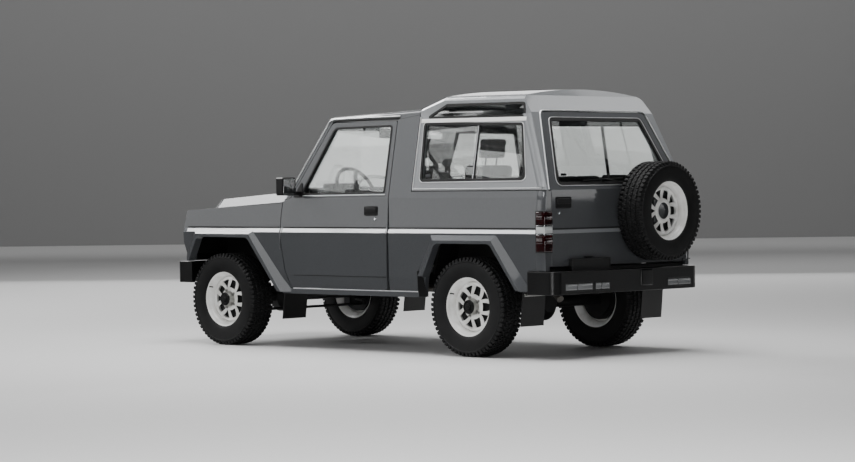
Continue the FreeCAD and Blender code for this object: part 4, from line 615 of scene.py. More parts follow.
WINDOW_AT_FOOT, WINDOW_AT_TOP = 19.5, 8.5
SMALL_WINDOW_AT_FOOT, SMALL_WINDOW_AT_TOP = 1.2, 13.4
SHEET_STEEL, CREASED_FROM, CREASE = 5, 50, 0.9
COLUMN_STEPS = [0, 1, 2, 4, 6, 8, 10, 11, 12]
WINDOW_COLUMNS = (0, 1, 4, 5, 6, 7, 10, 11)


def spoke_angle(column, radius):
    """The heading of a column of the disc's grid: windows widen or narrow with the radius."""
    share = min(max((radius - WINDOW_FOOT) / (WINDOW_TOP - WINDOW_FOOT), 0), 1)
    wide = WINDOW_AT_FOOT + (WINDOW_AT_TOP - WINDOW_AT_FOOT) * share
    small = SMALL_WINDOW_AT_FOOT + (SMALL_WINDOW_AT_TOP - SMALL_WINDOW_AT_FOOT) * share
    half = [0, wide * 0.5, wide, FIFTH / 2 - small, FIFTH / 2]
    edges = half + [FIFTH - angle for angle in reversed(half[:-1])]
    turn, place = divmod(column, SPOKE_COLUMNS)
    i = next(i for i, step in enumerate(COLUMN_STEPS[1:]) if place <= step)
    inside = (place - COLUMN_STEPS[i]) / (COLUMN_STEPS[i + 1] - COLUMN_STEPS[i])
    return math.radians(FIFTH * turn + edges[i] + inside * (edges[i + 1] - edges[i]))


def is_window(column, row):
    inside = DISC_ROWS[row][0] >= WINDOW_FOOT and DISC_ROWS[row + 1][0] <= WINDOW_TOP
    return inside and column % SPOKE_COLUMNS in WINDOW_COLUMNS


def build_disc(name, node, middle, facing):
    """The pressed disc with its ten windows and five pairs of spokes."""
    bm = bmesh.new()
    columns, rows = SPOKE_COLUMNS * SPOKES, len(DISC_ROWS) - 1
    bmesh.ops.create_grid(bm, x_segments=columns, y_segments=rows, size=0.5)
    middles = [(face, face.calc_center_median()) for face in bm.faces]
    windows = [face for face, place in middles
               if is_window(int((place.x + 0.5) * columns), int((place.y + 0.5) * rows))]
    bmesh.ops.delete(bm, geom=windows, context="FACES")
    for vert in bm.verts:
        column, row = round((vert.co.x + 0.5) * columns), round((vert.co.y + 0.5) * rows)
        radius, dish = DISC_ROWS[row]
        angle = spoke_angle(column, radius)
        vert.co = Vector((DISC_FACE + dish, radius * math.cos(angle), radius * math.sin(angle))) * MM
    bmesh.ops.remove_doubles(bm, verts=bm.verts, dist=0.05 * MM)
    bmesh.ops.recalc_face_normals(bm, faces=bm.faces)
    if sum(face.normal.x for face in bm.faces) < 0:
        bmesh.ops.reverse_faces(bm, faces=bm.faces)
    bmesh.ops.solidify(bm, geom=list(bm.faces), thickness=SHEET_STEEL * MM)
    bmesh.ops.recalc_face_normals(bm, faces=bm.faces)
    crease = bm.edges.layers.float.new("crease_edge")
    for edge in bm.edges:
        if edge.calc_face_angle(0) > math.radians(CREASED_FROM):
            edge[crease] = CREASE
    place_wheel(bm, middle, facing)
    soften(mesh_piece(f"{name}_disc", bm, wheel_enamel, NODES[node]["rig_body"]), "drawn_steel")


def build_rim(name, node, middle, facing):
    """The welded wheel: its disc, and the rolled rim that stands for the CAD node."""
    build_disc(name, node, middle, facing)
    bm = bmesh.new()
    spin_profile(bm, RIM_PROFILE, 96)
    place_wheel(bm, middle, facing)
    rim = mesh_piece(f"{name}_rim", bm, wheel_enamel, NODES[node]["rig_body"])
    soften(rim, "rolled_steel")
    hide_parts(node)


# %% [markdown]
# The hub shows in the middle of each road wheel: a ring of hexagon nuts, a bright tapered collar and
# a black cap with turned rings. The spare has no hub, so its bore stays open with a raised lip. A
# black drum behind each disc, or the spare's carrier, darkens the windows.

# %% Hub parts
NUT_CIRCLE = 70
COLLAR = [(DISC_FACE + 4, 60), (DISC_FACE + 10, 60), (DISC_FACE + 24, 56), (RIM_FACE - 14, 53),
          (RIM_FACE - 10, 51), (RIM_FACE - 10, 47), (DISC_FACE + 4, 47)]
HUB_CAP = [(RIM_FACE + x, radius) for x, radius in [
    (-16, 0), (-16, 50), (-4, 50), (-1, 48), (-1, 44), (2, 43), (2, 36), (-1, 34), (-1, 28), (4, 26),
    (5, 16), (3, 14), (3, 9), (6, 7), (6, 0)]]
DRUM = [(DISC_FACE + x, radius) for x, radius in [
    (-74, 0), (-74, 150), (-22, 150), (-18, 146), (-18, 132), (-21, 128), (-21, 0)]]
VALVE = [(0, 0), (0, 5), (8, 4.5), (22, 3.4), (22, 4.6), (31, 4.4), (33, 3), (33, 0)]


def turned_wheel_part(name, profile, middle, facing, material, body, sharp):
    """A turned part on the wheel's own axle."""
    bm = bmesh.new()
    spin_profile(bm, profile, 64, closed=False)
    place_wheel(bm, middle, facing)
    mesh_piece(name, bm, material, body, sharp=sharp)


def hexagon_nut(bm, x, across, height, angle):
    """A hexagon nut on the nut circle, with a crowned top."""
    half = across / 2 * MM
    made = bmesh.ops.create_cone(bm, cap_ends=True, segments=6, radius1=half, radius2=half,
                                 depth=height * MM)["verts"]
    top = [face for face in {f for v in made for f in v.link_faces} if face.normal.z > 0.9]
    bmesh.ops.inset_region(bm, faces=top, thickness=1.6 * MM, depth=1.6 * MM)
    verts = list({v for v in made} | {v for f in top for v in f.verts})
    turn_round(bm, 90, "Y", verts)
    shift = Vector((x, NUT_CIRCLE * math.cos(angle), NUT_CIRCLE * math.sin(angle))) * MM
    bmesh.ops.translate(bm, vec=shift, verts=verts)


def build_hub(name, node, middle, facing):
    body = NODES[node]["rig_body"]
    bm = bmesh.new()
    for i in range(SPOKES):
        hexagon_nut(bm, DISC_FACE + 18, 21, 18, math.radians(FIFTH / 2 + FIFTH * i))
    spin_profile(bm, COLLAR, 64)
    place_wheel(bm, middle, facing)
    mesh_piece(f"{name}_nuts_and_collar", bm, zinc_steel, body, sharp=25)
    turned_wheel_part(f"{name}_hub_cap", HUB_CAP, middle, facing, bumper_plastic, body, 32)


def build_valve(name, node, middle, facing):
    """The rubber valve, which leans out of the rim."""
    bm = bmesh.new()
    spin_profile(bm, VALVE, 12, closed=False)
    turn_round(bm, -14, "Y")
    bmesh.ops.translate(bm, vec=Vector((RIM_FACE - 32, 0, 186)) * MM, verts=bm.verts)
    turn_round(bm, 62, "X")
    place_wheel(bm, middle, facing)
    mesh_piece(f"{name}_valve", bm, seal_rubber, NODES[node]["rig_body"], sharp=32)


# %% Five wheels
def middle_of(node):
    low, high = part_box(node)
    return (Vector(low) + Vector(high)) / 2


def build_wheel(name, tyre, rim, facing):
    """Tyre, rim, drum and valve, and a hub where the wheel is on an axle."""
    middle, body = middle_of(tyre), NODES[rim]["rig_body"]
    build_tyre(f"{name}_tyre_tread", tyre, middle, facing)
    build_rim(name, rim, middle, facing)
    if name != "spare":
        build_hub(name, rim, middle, facing)
    turned_wheel_part(f"{name}_drum", DRUM, middle, facing, cast_iron, body, 30)
    build_valve(name, rim, middle, facing)


WHEEL_FACINGS = {"front_left": 0, "rear_left": 0, "front_right": 180, "rear_right": 180}
for wheel, facing in WHEEL_FACINGS.items():
    build_wheel(wheel, f"tyre_{wheel}", f"rim_{wheel}", facing)
build_wheel("spare", "spare_tyre", "spare_rim", 90)
print("five wheels, spare at", [round(v, 3) for v in middle_of("spare_tyre")])

# %% [markdown]
# Trim follows the body's faces. Two short functions give a point on the side or on the rear of the
# body from flat coordinates, with a distance off the surface, so a strip or a window rubber is drawn
# flat and lands where the panel is. The side leans in above the waist, and so does the tailgate.

# %% The faces that carry trim
SIDE_SECTION = [(408, 768), (452, 768), (545, 777), (862, 792), (893, 779), (1113, 770), (1703, 657.9)]
REAR_SECTION = [(590, 3258), (1165, 3262), (1701, 3036)]


def along_section(section, z):
    """The section's distance at a height and its unit normal as (outward, upward)."""
    for (z0, d0), (z1, d1) in zip(section, section[1:]):
        if z <= z1 or z1 == section[-1][0]:
            slope = (d1 - d0) / (z1 - z0)
            length = math.hypot(1, slope)
            return d0 + slope * (z - z0), 1 / length, -slope / length
    return section[-1][1], 1, 0


def on_left(station, z, out=0):
    distance, outward, upward = along_section(SIDE_SECTION, z)
    return spot(distance + outward * out, station, z + upward * out)


def on_right(station, z, out=0):
    point = on_left(station, z, out)
    return Vector((-point.x, point.y, point.z))


def on_rear(x, z, out=0):
    distance, outward, upward = along_section(REAR_SECTION, z)
    return spot(x, distance + outward * out, z + upward * out)


def upright_face(station, heading):
    """A flat upright face at a station, with a heading of -1 to look forward or 1 to look back."""
    return lambda x, z, out=0: spot(x, station + heading * out, z)


SIDES, SIGNS = {"left": on_left, "right": on_right}, {"left": 1, "right": -1}
FORWARD, REARWARD = -1, 1
print("shoulder at", [round(v, 3) for v in on_left(1000, 862)])


# %% [markdown]
# Nearly all trim is one of five things: a plate, a ring, a rolled block, a wire or a small turned
# part. Each has a function, so the cells below only say where it is and what it is made of.

# %% Outlines
def rectangle(x0, z0, x1, z1, radius=0):
    """The corners of a rectangle, all with one radius."""
    return [(x0, z0, radius), (x1, z0, radius), (x1, z1, radius), (x0, z1, radius)]


def rounded_corners(corners, steps=5):
    """A closed outline whose corners (a, b, radius) are rounded with short curves."""
    points = []
    for i, corner in enumerate(corners):
        here, radius = Vector(corner[:2]), corner[2] if len(corner) > 2 else 0
        if not radius:
            points.append(here)
            continue
        before = (Vector(corners[i - 1][:2]) - here).normalized()
        after = (Vector(corners[(i + 1) % len(corners)][:2]) - here).normalized()
        reach = radius / math.tan(before.angle(after) / 2)
        start, end = here + before * reach, here + after * reach
        for step in range(steps + 1):
            t = step / steps
            points.append(start * (1 - t) ** 2 + here * 2 * t * (1 - t) + end * t ** 2)
    return points


def grown(points, amount):
    """The outline moved outwards, or inwards where the amount is below zero."""
    sharpest = 0.3
    area = sum(a.x * b.y - b.x * a.y for a, b in zip(points, points[1:] + points[:1]))
    turn = 1 if area > 0 else -1
    moved = []
    for i, point in enumerate(points):
        ahead, behind = points[(i + 1) % len(points)] - point, point - points[i - 1]
        normals = [Vector((d.y, -d.x)).normalized() * turn for d in (ahead, behind)]
        middle = (normals[0] + normals[1]).normalized()
        moved.append(point + middle * amount / max(middle.dot(normals[0]), sharpest))
    return moved


# %% Plates, rings, blocks, wires and turned parts
def add_loop(bm, points):
    """A closed wire through points; gives its edges."""
    verts = [bm.verts.new(point) for point in points]
    return [bm.edges.new(pair) for pair in zip(verts, verts[1:] + verts[:1])]


def plate_piece(name, corners, lay, low, high, material, body, roll=1.5):
    """A flat plate with an outline, from one distance off its surface to another."""
    bm = bmesh.new()
    outline = rounded_corners(corners)
    bottom = [bm.verts.new(lay(p.x, p.y, low)) for p in outline]
    upper = [bm.verts.new(lay(p.x, p.y, high)) for p in outline]
    bm.faces.new(bottom)
    bm.faces.new(upper)
    bmesh.ops.bridge_loops(bm, edges=list(bm.edges))
    bmesh.ops.recalc_face_normals(bm, faces=bm.faces)
    roll_edges(mesh_piece(name, bm, material, body, sharp=30), roll, segments=2, from_angle=40)


def ring_piece(name, corners, lay, inner, outer, low, high, material, body, roll=2):
    """A rubber or frame round an outline, from so far inside it to so far outside."""
    bm = bmesh.new()
    outline = rounded_corners(corners)
    loops = []
    for amount, out in ((-inner, low), (outer, low), (outer, high), (-inner, high)):
        loops.append([bm.verts.new(lay(p.x, p.y, out)) for p in grown(outline, amount)])
    for first, second in zip(loops, loops[1:] + loops[:1]):
        for i in range(len(first)):
            j = (i + 1) % len(first)
            bm.faces.new((first[i], first[j], second[j], second[i]))
    bmesh.ops.recalc_face_normals(bm, faces=bm.faces)
    roll_edges(mesh_piece(name, bm, material, body, sharp=35), roll, segments=2, from_angle=50)


def block_piece(name, low, high, material, body, roll=3, segments=3):
    """A moulded block between two corners in millimetres, with rolled edges."""
    bm = bmesh.new()
    made = bmesh.ops.create_cube(bm, size=1)["verts"]
    bmesh.ops.scale(bm, vec=[(b - a) * MM for a, b in zip(low, high)], verts=made)
    bmesh.ops.translate(bm, vec=spot(*[(a + b) / 2 for a, b in zip(low, high)]), verts=made)
    roll_block(bm, made, roll, segments)
    mesh_piece(name, bm, material, body, sharp=40)


def side_block(name, side, low, high, material, roll=3, segments=3):
    """A fixed block given for the left side, or its mirror image on the right."""
    x0, x1 = sorted((SIGNS[side] * low[0], SIGNS[side] * high[0]))
    block_piece(f"{name}_{side}", (x0, *low[1:]), (x1, *high[1:]), material, "root", roll, segments)


def turned_trim(name, profile, lay, place, out, material, body):
    """A small turned part that stands on a face, such as a lock barrel."""
    bm = bmesh.new()
    spin_profile(bm, profile, 24, closed=False)
    outward = (lay(*place, 1) - lay(*place, 0)).normalized()
    upright = X_AXIS.rotation_difference(outward).to_matrix()
    bmesh.ops.rotate(bm, cent=(0, 0, 0), matrix=upright, verts=bm.verts)
    bmesh.ops.translate(bm, vec=lay(*place, out), verts=bm.verts)
    mesh_piece(name, bm, material, body, sharp=30)


def wire_piece(name, points, radius, material, body, closed=False):
    """A round wire, pipe or bead through points that are already in metres."""
    line = bpy.data.curves.new(name, "CURVE")
    line.dimensions = "3D"
    line.bevel_depth = radius * MM
    line.bevel_resolution = 3
    line.use_fill_caps = True
    spline = line.splines.new("POLY")
    spline.points.add(len(points) - 1)
    for target, point in zip(spline.points, points):
        target.co = (*point, 1)
    spline.use_cyclic_u = closed
    line.materials.append(material)
    add_piece(name, line, body)


# %% [markdown]
# A thin black line and a pale stripe run along the shoulder of the body, broken at each panel gap. The pale
# stripe is a painted highlight on the chamfer, which faces up into the light, and the black line is a painted
# shadow in the step just above it. Below the doors a bright lip covers the top of the sill. Each length of
# stripe and line is a plate less than 2 mm thick.

# %% Stripes along the sides
# A bright foil. The sill lip and the rain gutter are made of it. It is also a painted highlight on the
# shoulder stripes of the sides, and on the beads at the rounded edges round the side and tailgate windows, the
# tailgate's opening and the hardtop.
bright_foil_and_highlight = bright_metal("silver_foil_and_painted_highlight", "#E4E5E6", 0.42)
anodised = bright_metal("anodised_rail", "#D4D6D8", 0.3)
pale_enamel = grained_plastic("pale_rail_enamel", "#F4F4F2", 0.3, 3, 0.02)
STRIPES = {"wing": (-405, 632), "door": (668, 1741), "quarter": (1770, 3176)}
for side, lay in SIDES.items():
    for place, (start, end) in STRIPES.items():
        body = f"door_{side}" if place == "door" else "root"
        # The pale band is a painted highlight on the chamfer, and the black band is a painted shadow in the
        # step above it.
        stripe, shadow_band = rectangle(start, 864, end, 889), rectangle(start, 895, end, 904)
        plate_piece(f"shoulder_stripe_{place}_{side}", stripe, lay, -0.4, 0.8, bright_foil_and_highlight, body, 0.3)
        plate_piece(f"shoulder_joint_{place}_{side}", shadow_band, lay, -0.4, 0.9, seal_rubber, body, 0.3)
    sill, crease = rectangle(760, 441, 2046, 450), rectangle(775, 543, 1738, 548)
    plate_piece(f"sill_lip_{side}", sill, lay, -2, 4, bright_foil_and_highlight, "root")
    plate_piece(f"door_crease_{side}", crease, lay, -0.8, 0.5, seal_rubber, f"door_{side}", 0.2)
# The same painted highlight, in the hardtop's paler enamel, and the same painted shadow run across the
# tailgate.
stripe, shadow_band = rectangle(-704, 864, 704, 889), rectangle(-704, 893, 704, 901)
plate_piece("shoulder_stripe_tailgate", stripe, on_rear, -0.4, 1.2, hardtop_enamel, "tailgate", 0.3)
plate_piece("shoulder_joint_tailgate", shadow_band, on_rear, -0.4, 0.9, seal_rubber, "tailgate", 0.3)
print("stripes on both sides")

# %% [markdown]
# Every pane sits in black rubber. The ring is drawn round the window's own outline, a little inside
# it to hide the edge of the glass and further outside it to cover the flange of the panel.

# %% Window rubbers
DOOR_WINDOW = [(849, 1142, 14), (1709, 1152, 14), (1709, 1632, 22), (1127, 1626, 50)]
QUARTER_WINDOW = [(2062, 1236, 26), (3046, 1240, 26), (2968, 1618, 22), (2040, 1640, 22)]
SKYLIGHT = [(2062, 1682, 8), (2985, 1675, 12), (2964, 1764, 14), (2235, 1768, 30)]
TAILGATE_WINDOW = [(628, 1206, 30), (486, 1650, 30), (-486, 1650, 30), (-628, 1206, 30)]
WAIST_STRIP = [(838, 1126), (1722, 1134), (1722, 1143), (840, 1135)]
RAIL = [(2004, 1646), (3006, 1640), (3006, 1668), (2004, 1674)]
DIVIDER = [(2548, 1242), (2572, 1242), (2572, 1622), (2548, 1624)]
for side, lay in SIDES.items():
    ring_piece(f"door_rubber_{side}", DOOR_WINDOW, lay, 7, 9, -6, 3, seal_rubber, f"door_{side}")
    plate_piece(f"door_waist_strip_{side}", WAIST_STRIP, lay, 0.5, 6, anodised, f"door_{side}")
    ring_piece(f"quarter_rubber_{side}", QUARTER_WINDOW, lay, 9, 11, -8, 3, seal_rubber, "root")
    # A painted highlight: the bright foil ring on the edge of the raised frame round the window.
    ring_piece(f"quarter_bead_{side}", QUARTER_WINDOW, lay, -11, 16, -2, 4, bright_foil_and_highlight, "root", 1.2)
    ring_piece(f"skylight_rubber_{side}", SKYLIGHT, lay, 8, 9, -8, 3, seal_rubber, "root")
    plate_piece(f"hardtop_rail_{side}", RAIL, lay, -1, 7, pale_enamel, "root", 3)
    plate_piece(f"window_divider_{side}", DIVIDER, lay, -14, -2, seal_rubber, "root", 3)
    edge, catch = rectangle(2556, 1246, 2563, 1620), rectangle(2100, 1262, 2150, 1280, 4)
    plate_piece(f"divider_edge_{side}", edge, lay, -3, 0, chrome, "root", 0.8)
    plate_piece(f"slide_catch_{side}", catch, lay, -14, -4, cabin_plastic, "root", 2)
ring_piece("tailgate_rubber", TAILGATE_WINDOW, on_rear, 10, 13, -8, 3, seal_rubber, "tailgate")
# A painted highlight: the bright foil ring on the edge of the frame round the tailgate window.
ring_piece("tailgate_window_highlight_bead", TAILGATE_WINDOW, on_rear, -13, 18, -2, 4, bright_foil_and_highlight, "tailgate", 1.2)
print("rubbers round", 3 * len(SIDES) + 1, "panes")


# %% [markdown]
# The windscreen leans back in its own plane. Its rubber is drawn on that plane, and two wipers are
# parked along its foot, each an arm from a spindle with a hinged blade.

# %% Windscreen rubber and wipers
SCREEN_FOOT, SCREEN_FOOT_HEIGHT, SCREEN_SLOPE = 690, 1115, 0.63918


def screen_station(z):
    """Where the windscreen's plane is at a height."""
    return SCREEN_FOOT + SCREEN_SLOPE * (z - SCREEN_FOOT_HEIGHT)


def on_screen(x, z, out=0):
    lean = math.hypot(1, SCREEN_SLOPE)
    return spot(x, screen_station(z) - out / lean, z + out * SCREEN_SLOPE / lean)


PILLAR_WIDTH, SCREEN_LOW, SCREEN_HIGH = 52, 1128, 1628
low_half = along_section(SIDE_SECTION, SCREEN_LOW)[0] - PILLAR_WIDTH
high_half = along_section(SIDE_SECTION, SCREEN_HIGH)[0] - PILLAR_WIDTH
SCREEN = [(low_half, SCREEN_LOW, 40), (high_half, SCREEN_HIGH, 50),
          (-high_half, SCREEN_HIGH, 50), (-low_half, SCREEN_LOW, 40)]
ring_piece("windscreen_rubber", SCREEN, on_screen, 12, 16, -10, 4, seal_rubber, "root", 3)


def wiper(name, lay, body, pivot, tip, blade_from, blade_to):
    """A wiper: spindle cap, arm and blade with its rubber."""
    elbow = [(a + b) / 2 for a, b in zip(pivot, tip)]
    arm = [lay(*pivot, 16), lay(*elbow, 24), lay(*tip, 17)]
    bridge = [lay(*blade_from, 13), lay(*tip, 17), lay(*blade_to, 13)]
    wire_piece(f"{name}_arm", arm, 4, seal_rubber, body)
    wire_piece(f"{name}_bridge", bridge, 3, seal_rubber, body)
    wire_piece(f"{name}_blade", [lay(*blade_from, 8), lay(*blade_to, 8)], 3.5, seal_rubber, body)
    cap = [(-14, 0), (-14, 12), (6, 11), (9, 8), (10, 0)]
    turned_trim(f"{name}_spindle", cap, lay, pivot, 2, seal_rubber, body)


wiper("left_wiper", on_screen, "root", (470, 1150), (210, 1182), (470, 1166), (-40, 1194))
wiper("right_wiper", on_screen, "root", (-70, 1150), (-330, 1182), (-60, 1166), (-560, 1194))
wiper("rear_wiper", on_rear, "tailgate", (-60, 1196), (150, 1228), (-70, 1236), (370, 1220))
block_piece("rear_wiper_motor", (-190, 3120, 1196), (20, 3196, 1262), bumper_plastic, "tailgate", 14)
print("three wipers")

# %% [markdown]
# Seams between panels are dark because a rubber lies inside them. These beads run just under the surface in
# the gaps round the tailgate and the hardtop's foot, and along the rain gutter, which is bright where it faces
# up. Bright foil beads on the edge of the tailgate's opening and on the hardtop's front edge and foot are
# painted highlights of rounded edges, and a black wire under the gutter is a painted shadow.

# %% Seals in the gaps and the rain gutter
GATE_HALF = [(716, 640), (716, 1140), (728, 1176), (561, 1704)]
GATE = GATE_HALF + [(-x, z) for x, z in reversed(GATE_HALF)]
GATE_TOP, HARDTOP_FRONT = 1704, 1992
outline = rounded_corners([(x, z, 40 if z == GATE_TOP else 0) for x, z in GATE])
seal = [on_rear(p.x, p.y, -5) for p in outline]
wire_piece("tailgate_seal", seal, 5, seal_rubber, "root", closed=True)
# A painted highlight: a bright foil bead on the rolled edge of the tailgate's opening.
opening = rounded_corners([(x, z, 46 if z == GATE_TOP else 0) for x, z in GATE[2:6]])
bead = [on_rear(p.x, p.y, 1) for p in grown(opening, 9)]
wire_piece("tailgate_opening_highlight_bead", bead, 5.5, bright_foil_and_highlight, "root")
for side, lay in SIDES.items():
    foot = [lay(station, 1162, -3) for station in (HARDTOP_FRONT, 2600, 3250)]
    wire_piece(f"hardtop_foot_seal_{side}", foot, 5, seal_rubber, "root")
    # Painted highlights: bright foil beads on the hardtop's rounded front edge and along its foot.
    front_edge = [lay(HARDTOP_FRONT, 1172, 1), lay(HARDTOP_FRONT, 1690, 1)]
    wire_piece(f"hardtop_front_highlight_bead_{side}", front_edge, 5, bright_foil_and_highlight, "root")
    foot_edge = [lay(HARDTOP_FRONT, 1176, 1), lay(3215, 1176, 1)]
    wire_piece(f"hardtop_foot_highlight_bead_{side}", foot_edge, 3.5, bright_foil_and_highlight, "root")
    gutter = [lay(screen_station(z) + 12, z, 2) for z in (1150, 1400, 1640, 1676)]
    gutter += [lay(1110, 1692, 3), lay(1450, 1697, 4), lay(1786, 1700, 4)]
    wire_piece(f"rain_gutter_{side}", gutter, 6, bright_foil_and_highlight, "root")
    under = [lay(1120, 1680, 0), lay(1450, 1684, 0), lay(1780, 1686, 0)]
    wire_piece(f"gutter_shadow_{side}", under, 5, seal_rubber, "root")
print("seals and gutters")

# %% [markdown]
# The rear corners are rounded on the pressing, where the CAD panel has a plain edge. A crowned strip
# over the last 80 mm of the side turns the light round the corner, over and under the lamps too.

# %% Crowned rear corners
CROWN_WIDTH, CROWN_RISE, CROWN_STEPS, CROWN_FULLNESS = 80, 6.5, 12, 0.8
CROWN_INSET, CROWN_ROOT = 4, -1.5


def crown_section(z):
    """The strip's section at a height, as (station, distance off the side)."""
    edge = along_section(REAR_SECTION, z)[0] - CROWN_INSET
    crown = []
    for share in (i / CROWN_STEPS for i in range(CROWN_STEPS + 1)):
        rise = CROWN_RISE * abs(math.sin(math.pi * share)) ** CROWN_FULLNESS
        crown.append((edge - CROWN_WIDTH * (1 - share), rise))
    return crown + [(edge, CROWN_ROOT), (edge - CROWN_WIDTH, CROWN_ROOT)]


def crowned_corner(name, lay, low, high, material, rows):
    """A strip with a curved outside that follows the rear edge of the side between two heights."""
    bm = bmesh.new()
    heights = [low + (high - low) * row / rows for row in range(rows + 1)]
    loops = [add_loop(bm, [lay(station, z, out) for station, out in crown_section(z)]) for z in heights]
    for first, second in zip(loops, loops[1:]):
        bmesh.ops.bridge_loops(bm, edges=first + second)
    for end in (loops[0], loops[-1]):
        bmesh.ops.edgeloop_fill(bm, edges=end)
    bmesh.ops.recalc_face_normals(bm, faces=bm.faces)
    mesh_piece(name, bm, material, "root", sharp=40)


for side, lay in SIDES.items():
    crowned_corner(f"hardtop_corner_{side}", lay, 1182, 1690, hardtop_enamel, 24)
    crowned_corner(f"body_corner_high_{side}", lay, 1024, 1156, body_enamel, 8)
    crowned_corner(f"body_corner_low_{side}", lay, 614, 734, body_enamel, 6)
print("crowned corners")

# %% [markdown]
# Door handles are flush flaps in a black cup. The cup is a plate with a ring round it, the flap sits
# across its upper half, and a lock barrel lies below. The tailgate has the same handle, wider.

# %% Handles and locks
FLAP_FOOT = 0.38


def flap_handle(name, lay, body, low, high, lock):
    """A cup, its bright rim, a flap and a lock barrel at (a, b)."""
    (a0, b0), (a1, b1) = low, high
    cup = rectangle(a0, b0, a1, b1, 8)
    plate_piece(f"{name}_cup", cup, lay, -2, 1.5, seal_rubber, body, 1)
    ring_piece(f"{name}_rim", cup, lay, 0, 5, -1, 4, bumper_plastic, body, 1.5)
    flap = rectangle(a0 + 7, b0 + (b1 - b0) * FLAP_FOOT, a1 - 7, b1 - 6, 5)
    plate_piece(f"{name}_flap", flap, lay, 1, 9, bumper_plastic, body, 3)
    barrel = [(-2, 0), (-2, 11), (3, 11), (4, 9), (4, 7), (2.5, 6), (2.5, 0)]
    turned_trim(f"{name}_lock", barrel, lay, lock, 0, chrome, body)


for side, lay in SIDES.items():
    flap_handle(f"door_handle_{side}", lay, f"door_{side}", (1523, 992), (1650, 1050), (1628, 962))
flap_handle("tailgate_handle", on_rear, "tailgate", (515, 1040), (668, 1110), (640, 1006))
print("three handles")

# %% [markdown]
# Plates stay blank. The rear one hangs on the tailgate beside the spare wheel with a small lamp over
# it, and the front one is on the bumper. Their frames are black plastic. A dark sill closes the slot
# between the tailgate and the bumper.

# %% Blank plates
plate_enamel = grained_plastic("plate_enamel", "#141415", 0.4, 3, 0.05)
REAR_PLATE, FRONT_PLATE = rectangle(136, 608, 540, 686, 8), rectangle(-230, 500, 230, 600, 8)
plate_piece("rear_plate_holder", REAR_PLATE, on_rear, 0, 30, bumper_plastic, "tailgate", 6)
plate_piece("rear_plate", REAR_PLATE, on_rear, 30, 33, plate_enamel, "tailgate", 1)
ring_piece("rear_plate_frame", REAR_PLATE, on_rear, 4, 5, 24, 36, bumper_plastic, "tailgate", 2)
block_piece("plate_lamp", (300, 3256, 692), (376, 3284, 704), bumper_plastic, "tailgate", 4)
on_bumper = upright_face(-575, FORWARD)
plate_piece("front_plate", FRONT_PLATE, on_bumper, 0, 5, plate_enamel, "root")
ring_piece("front_plate_frame", FRONT_PLATE, on_bumper, 4, 6, 0, 8, bumper_plastic, "root", 2)
block_piece("rear_sill", (-742, 3160, 556), (742, 3242, 630), chassis_paint, "root", 6)
print("blank plates")

# %% [markdown]
# The tail lamps wrap round the corners in three tiers: red above, a clear reversing band with bright
# edges at the stripe's height, and red below. Each tier is its own moulding with prisms inside, and
# thin black joints part them. The bumper carries clear lamps in black surrounds.

# %% Tail and bumper lamps
LAMP_TIERS = {"upper": (922, 1016, red_lens), "reverse": (866, 914, clear_lens),
              "lower": (740, 858, red_lens)}
for side in SIDES:
    for tier, (low, high, lens) in LAMP_TIERS.items():
        side_block(f"tail_lamp_{tier}", side, (716, 3189, low), (800, 3273, high), lens, 6)
    for z in (862, 918):
        side_block(f"tail_lamp_edge_{z}", side, (715, 3187, z - 3), (801.5, 3274.5, z + 3), chrome, 1.5, 2)
BUMPER_LAMPS, LAMP_SPLIT = [(394, 678), (212, 362), (-694, -430)], 0.55
on_rear_bumper = upright_face(3348, REARWARD)
for number, (x0, x1) in enumerate(BUMPER_LAMPS):
    split = x0 + (x1 - x0) * LAMP_SPLIT
    for half, start, end in (("a", x0, split - 3), ("b", split + 3, x1)):
        low, high = (start, 3334, 476), (end, 3351, 519)
        block_piece(f"bumper_lamp_{half}_{number}", low, high, smoked_lens, "root", 4)
    ring_piece(f"bumper_lamp_rim_{number}", rectangle(x0, 475, x1, 520, 5), on_rear_bumper, 1, 8, -10, 3,
               bumper_plastic, "root")
block_piece("bumper_pad", (-262, 3330, 480), (-128, 3357, 598), bumper_plastic, "root", 12, segments=5)
NODES["rear_lamps"].data.materials.clear()
NODES["rear_lamps"].data.materials.append(seal_rubber)
print("tail lamps in", len(LAMP_TIERS), "tiers")

# %% [markdown]
# The face of the car has a slatted grille between two square lamps. A bright bezel holds each lamp, with an
# amber turn lamp at its outer side. The bumper carries two more lamps and two tow hooks. A black baffle hides
# the lamps' backs from the wheel arch; it is a painted shade that keeps that part of the arch dark.

# %% Front lamps and bezels
BOWL = [(-9, 0), (-9, 20), (-6.6, 48), (-1.8, 74), (0.6, 78), (0.9, 72), (-1.2, 60), (-5.4, 36), (-7.2, 16),
        (-7.2, 0)]
HOOK_X, HOOK = 365, [(-480, 470), (-556, 462), (-580, 440), (-560, 418), (-535, 420)]
car_face = upright_face(-436, FORWARD)
for side, sign in SIGNS.items():
    lamp = rectangle(sign * 446, 776, sign * 654, 954, 14)
    ring_piece(f"headlamp_bezel_{side}", lamp, car_face, 6, 9, -4, 6, chrome, "root")
    bm = bmesh.new()
    spin_profile(bm, BOWL, 48, closed=False)
    place_wheel(bm, spot(sign * 550, -433, 865), -90)
    mesh_piece(f"headlamp_bowl_{side}", bm, reflector, "root", sharp=30)
    side_block("turn_lamp", side, (672, -448, 776), (716, -434, 954), amber_lens, 5)
    side_block("bumper_turn_lamp", side, (520, -580, 530), (640, -570, 584), amber_lens, 4)
    # A painted shade: a black sheet in the arch that makes the space behind the front lamps dark.
    side_block("arch_painted_shade_baffle", side, (440, -371, 700), (744, -361, 950), chassis_paint)
    hook = [spot(sign * HOOK_X, station, z) for station, z in HOOK]
    wire_piece(f"tow_hook_{side}", hook, 9, chassis_paint, "root")
print("front lamps")

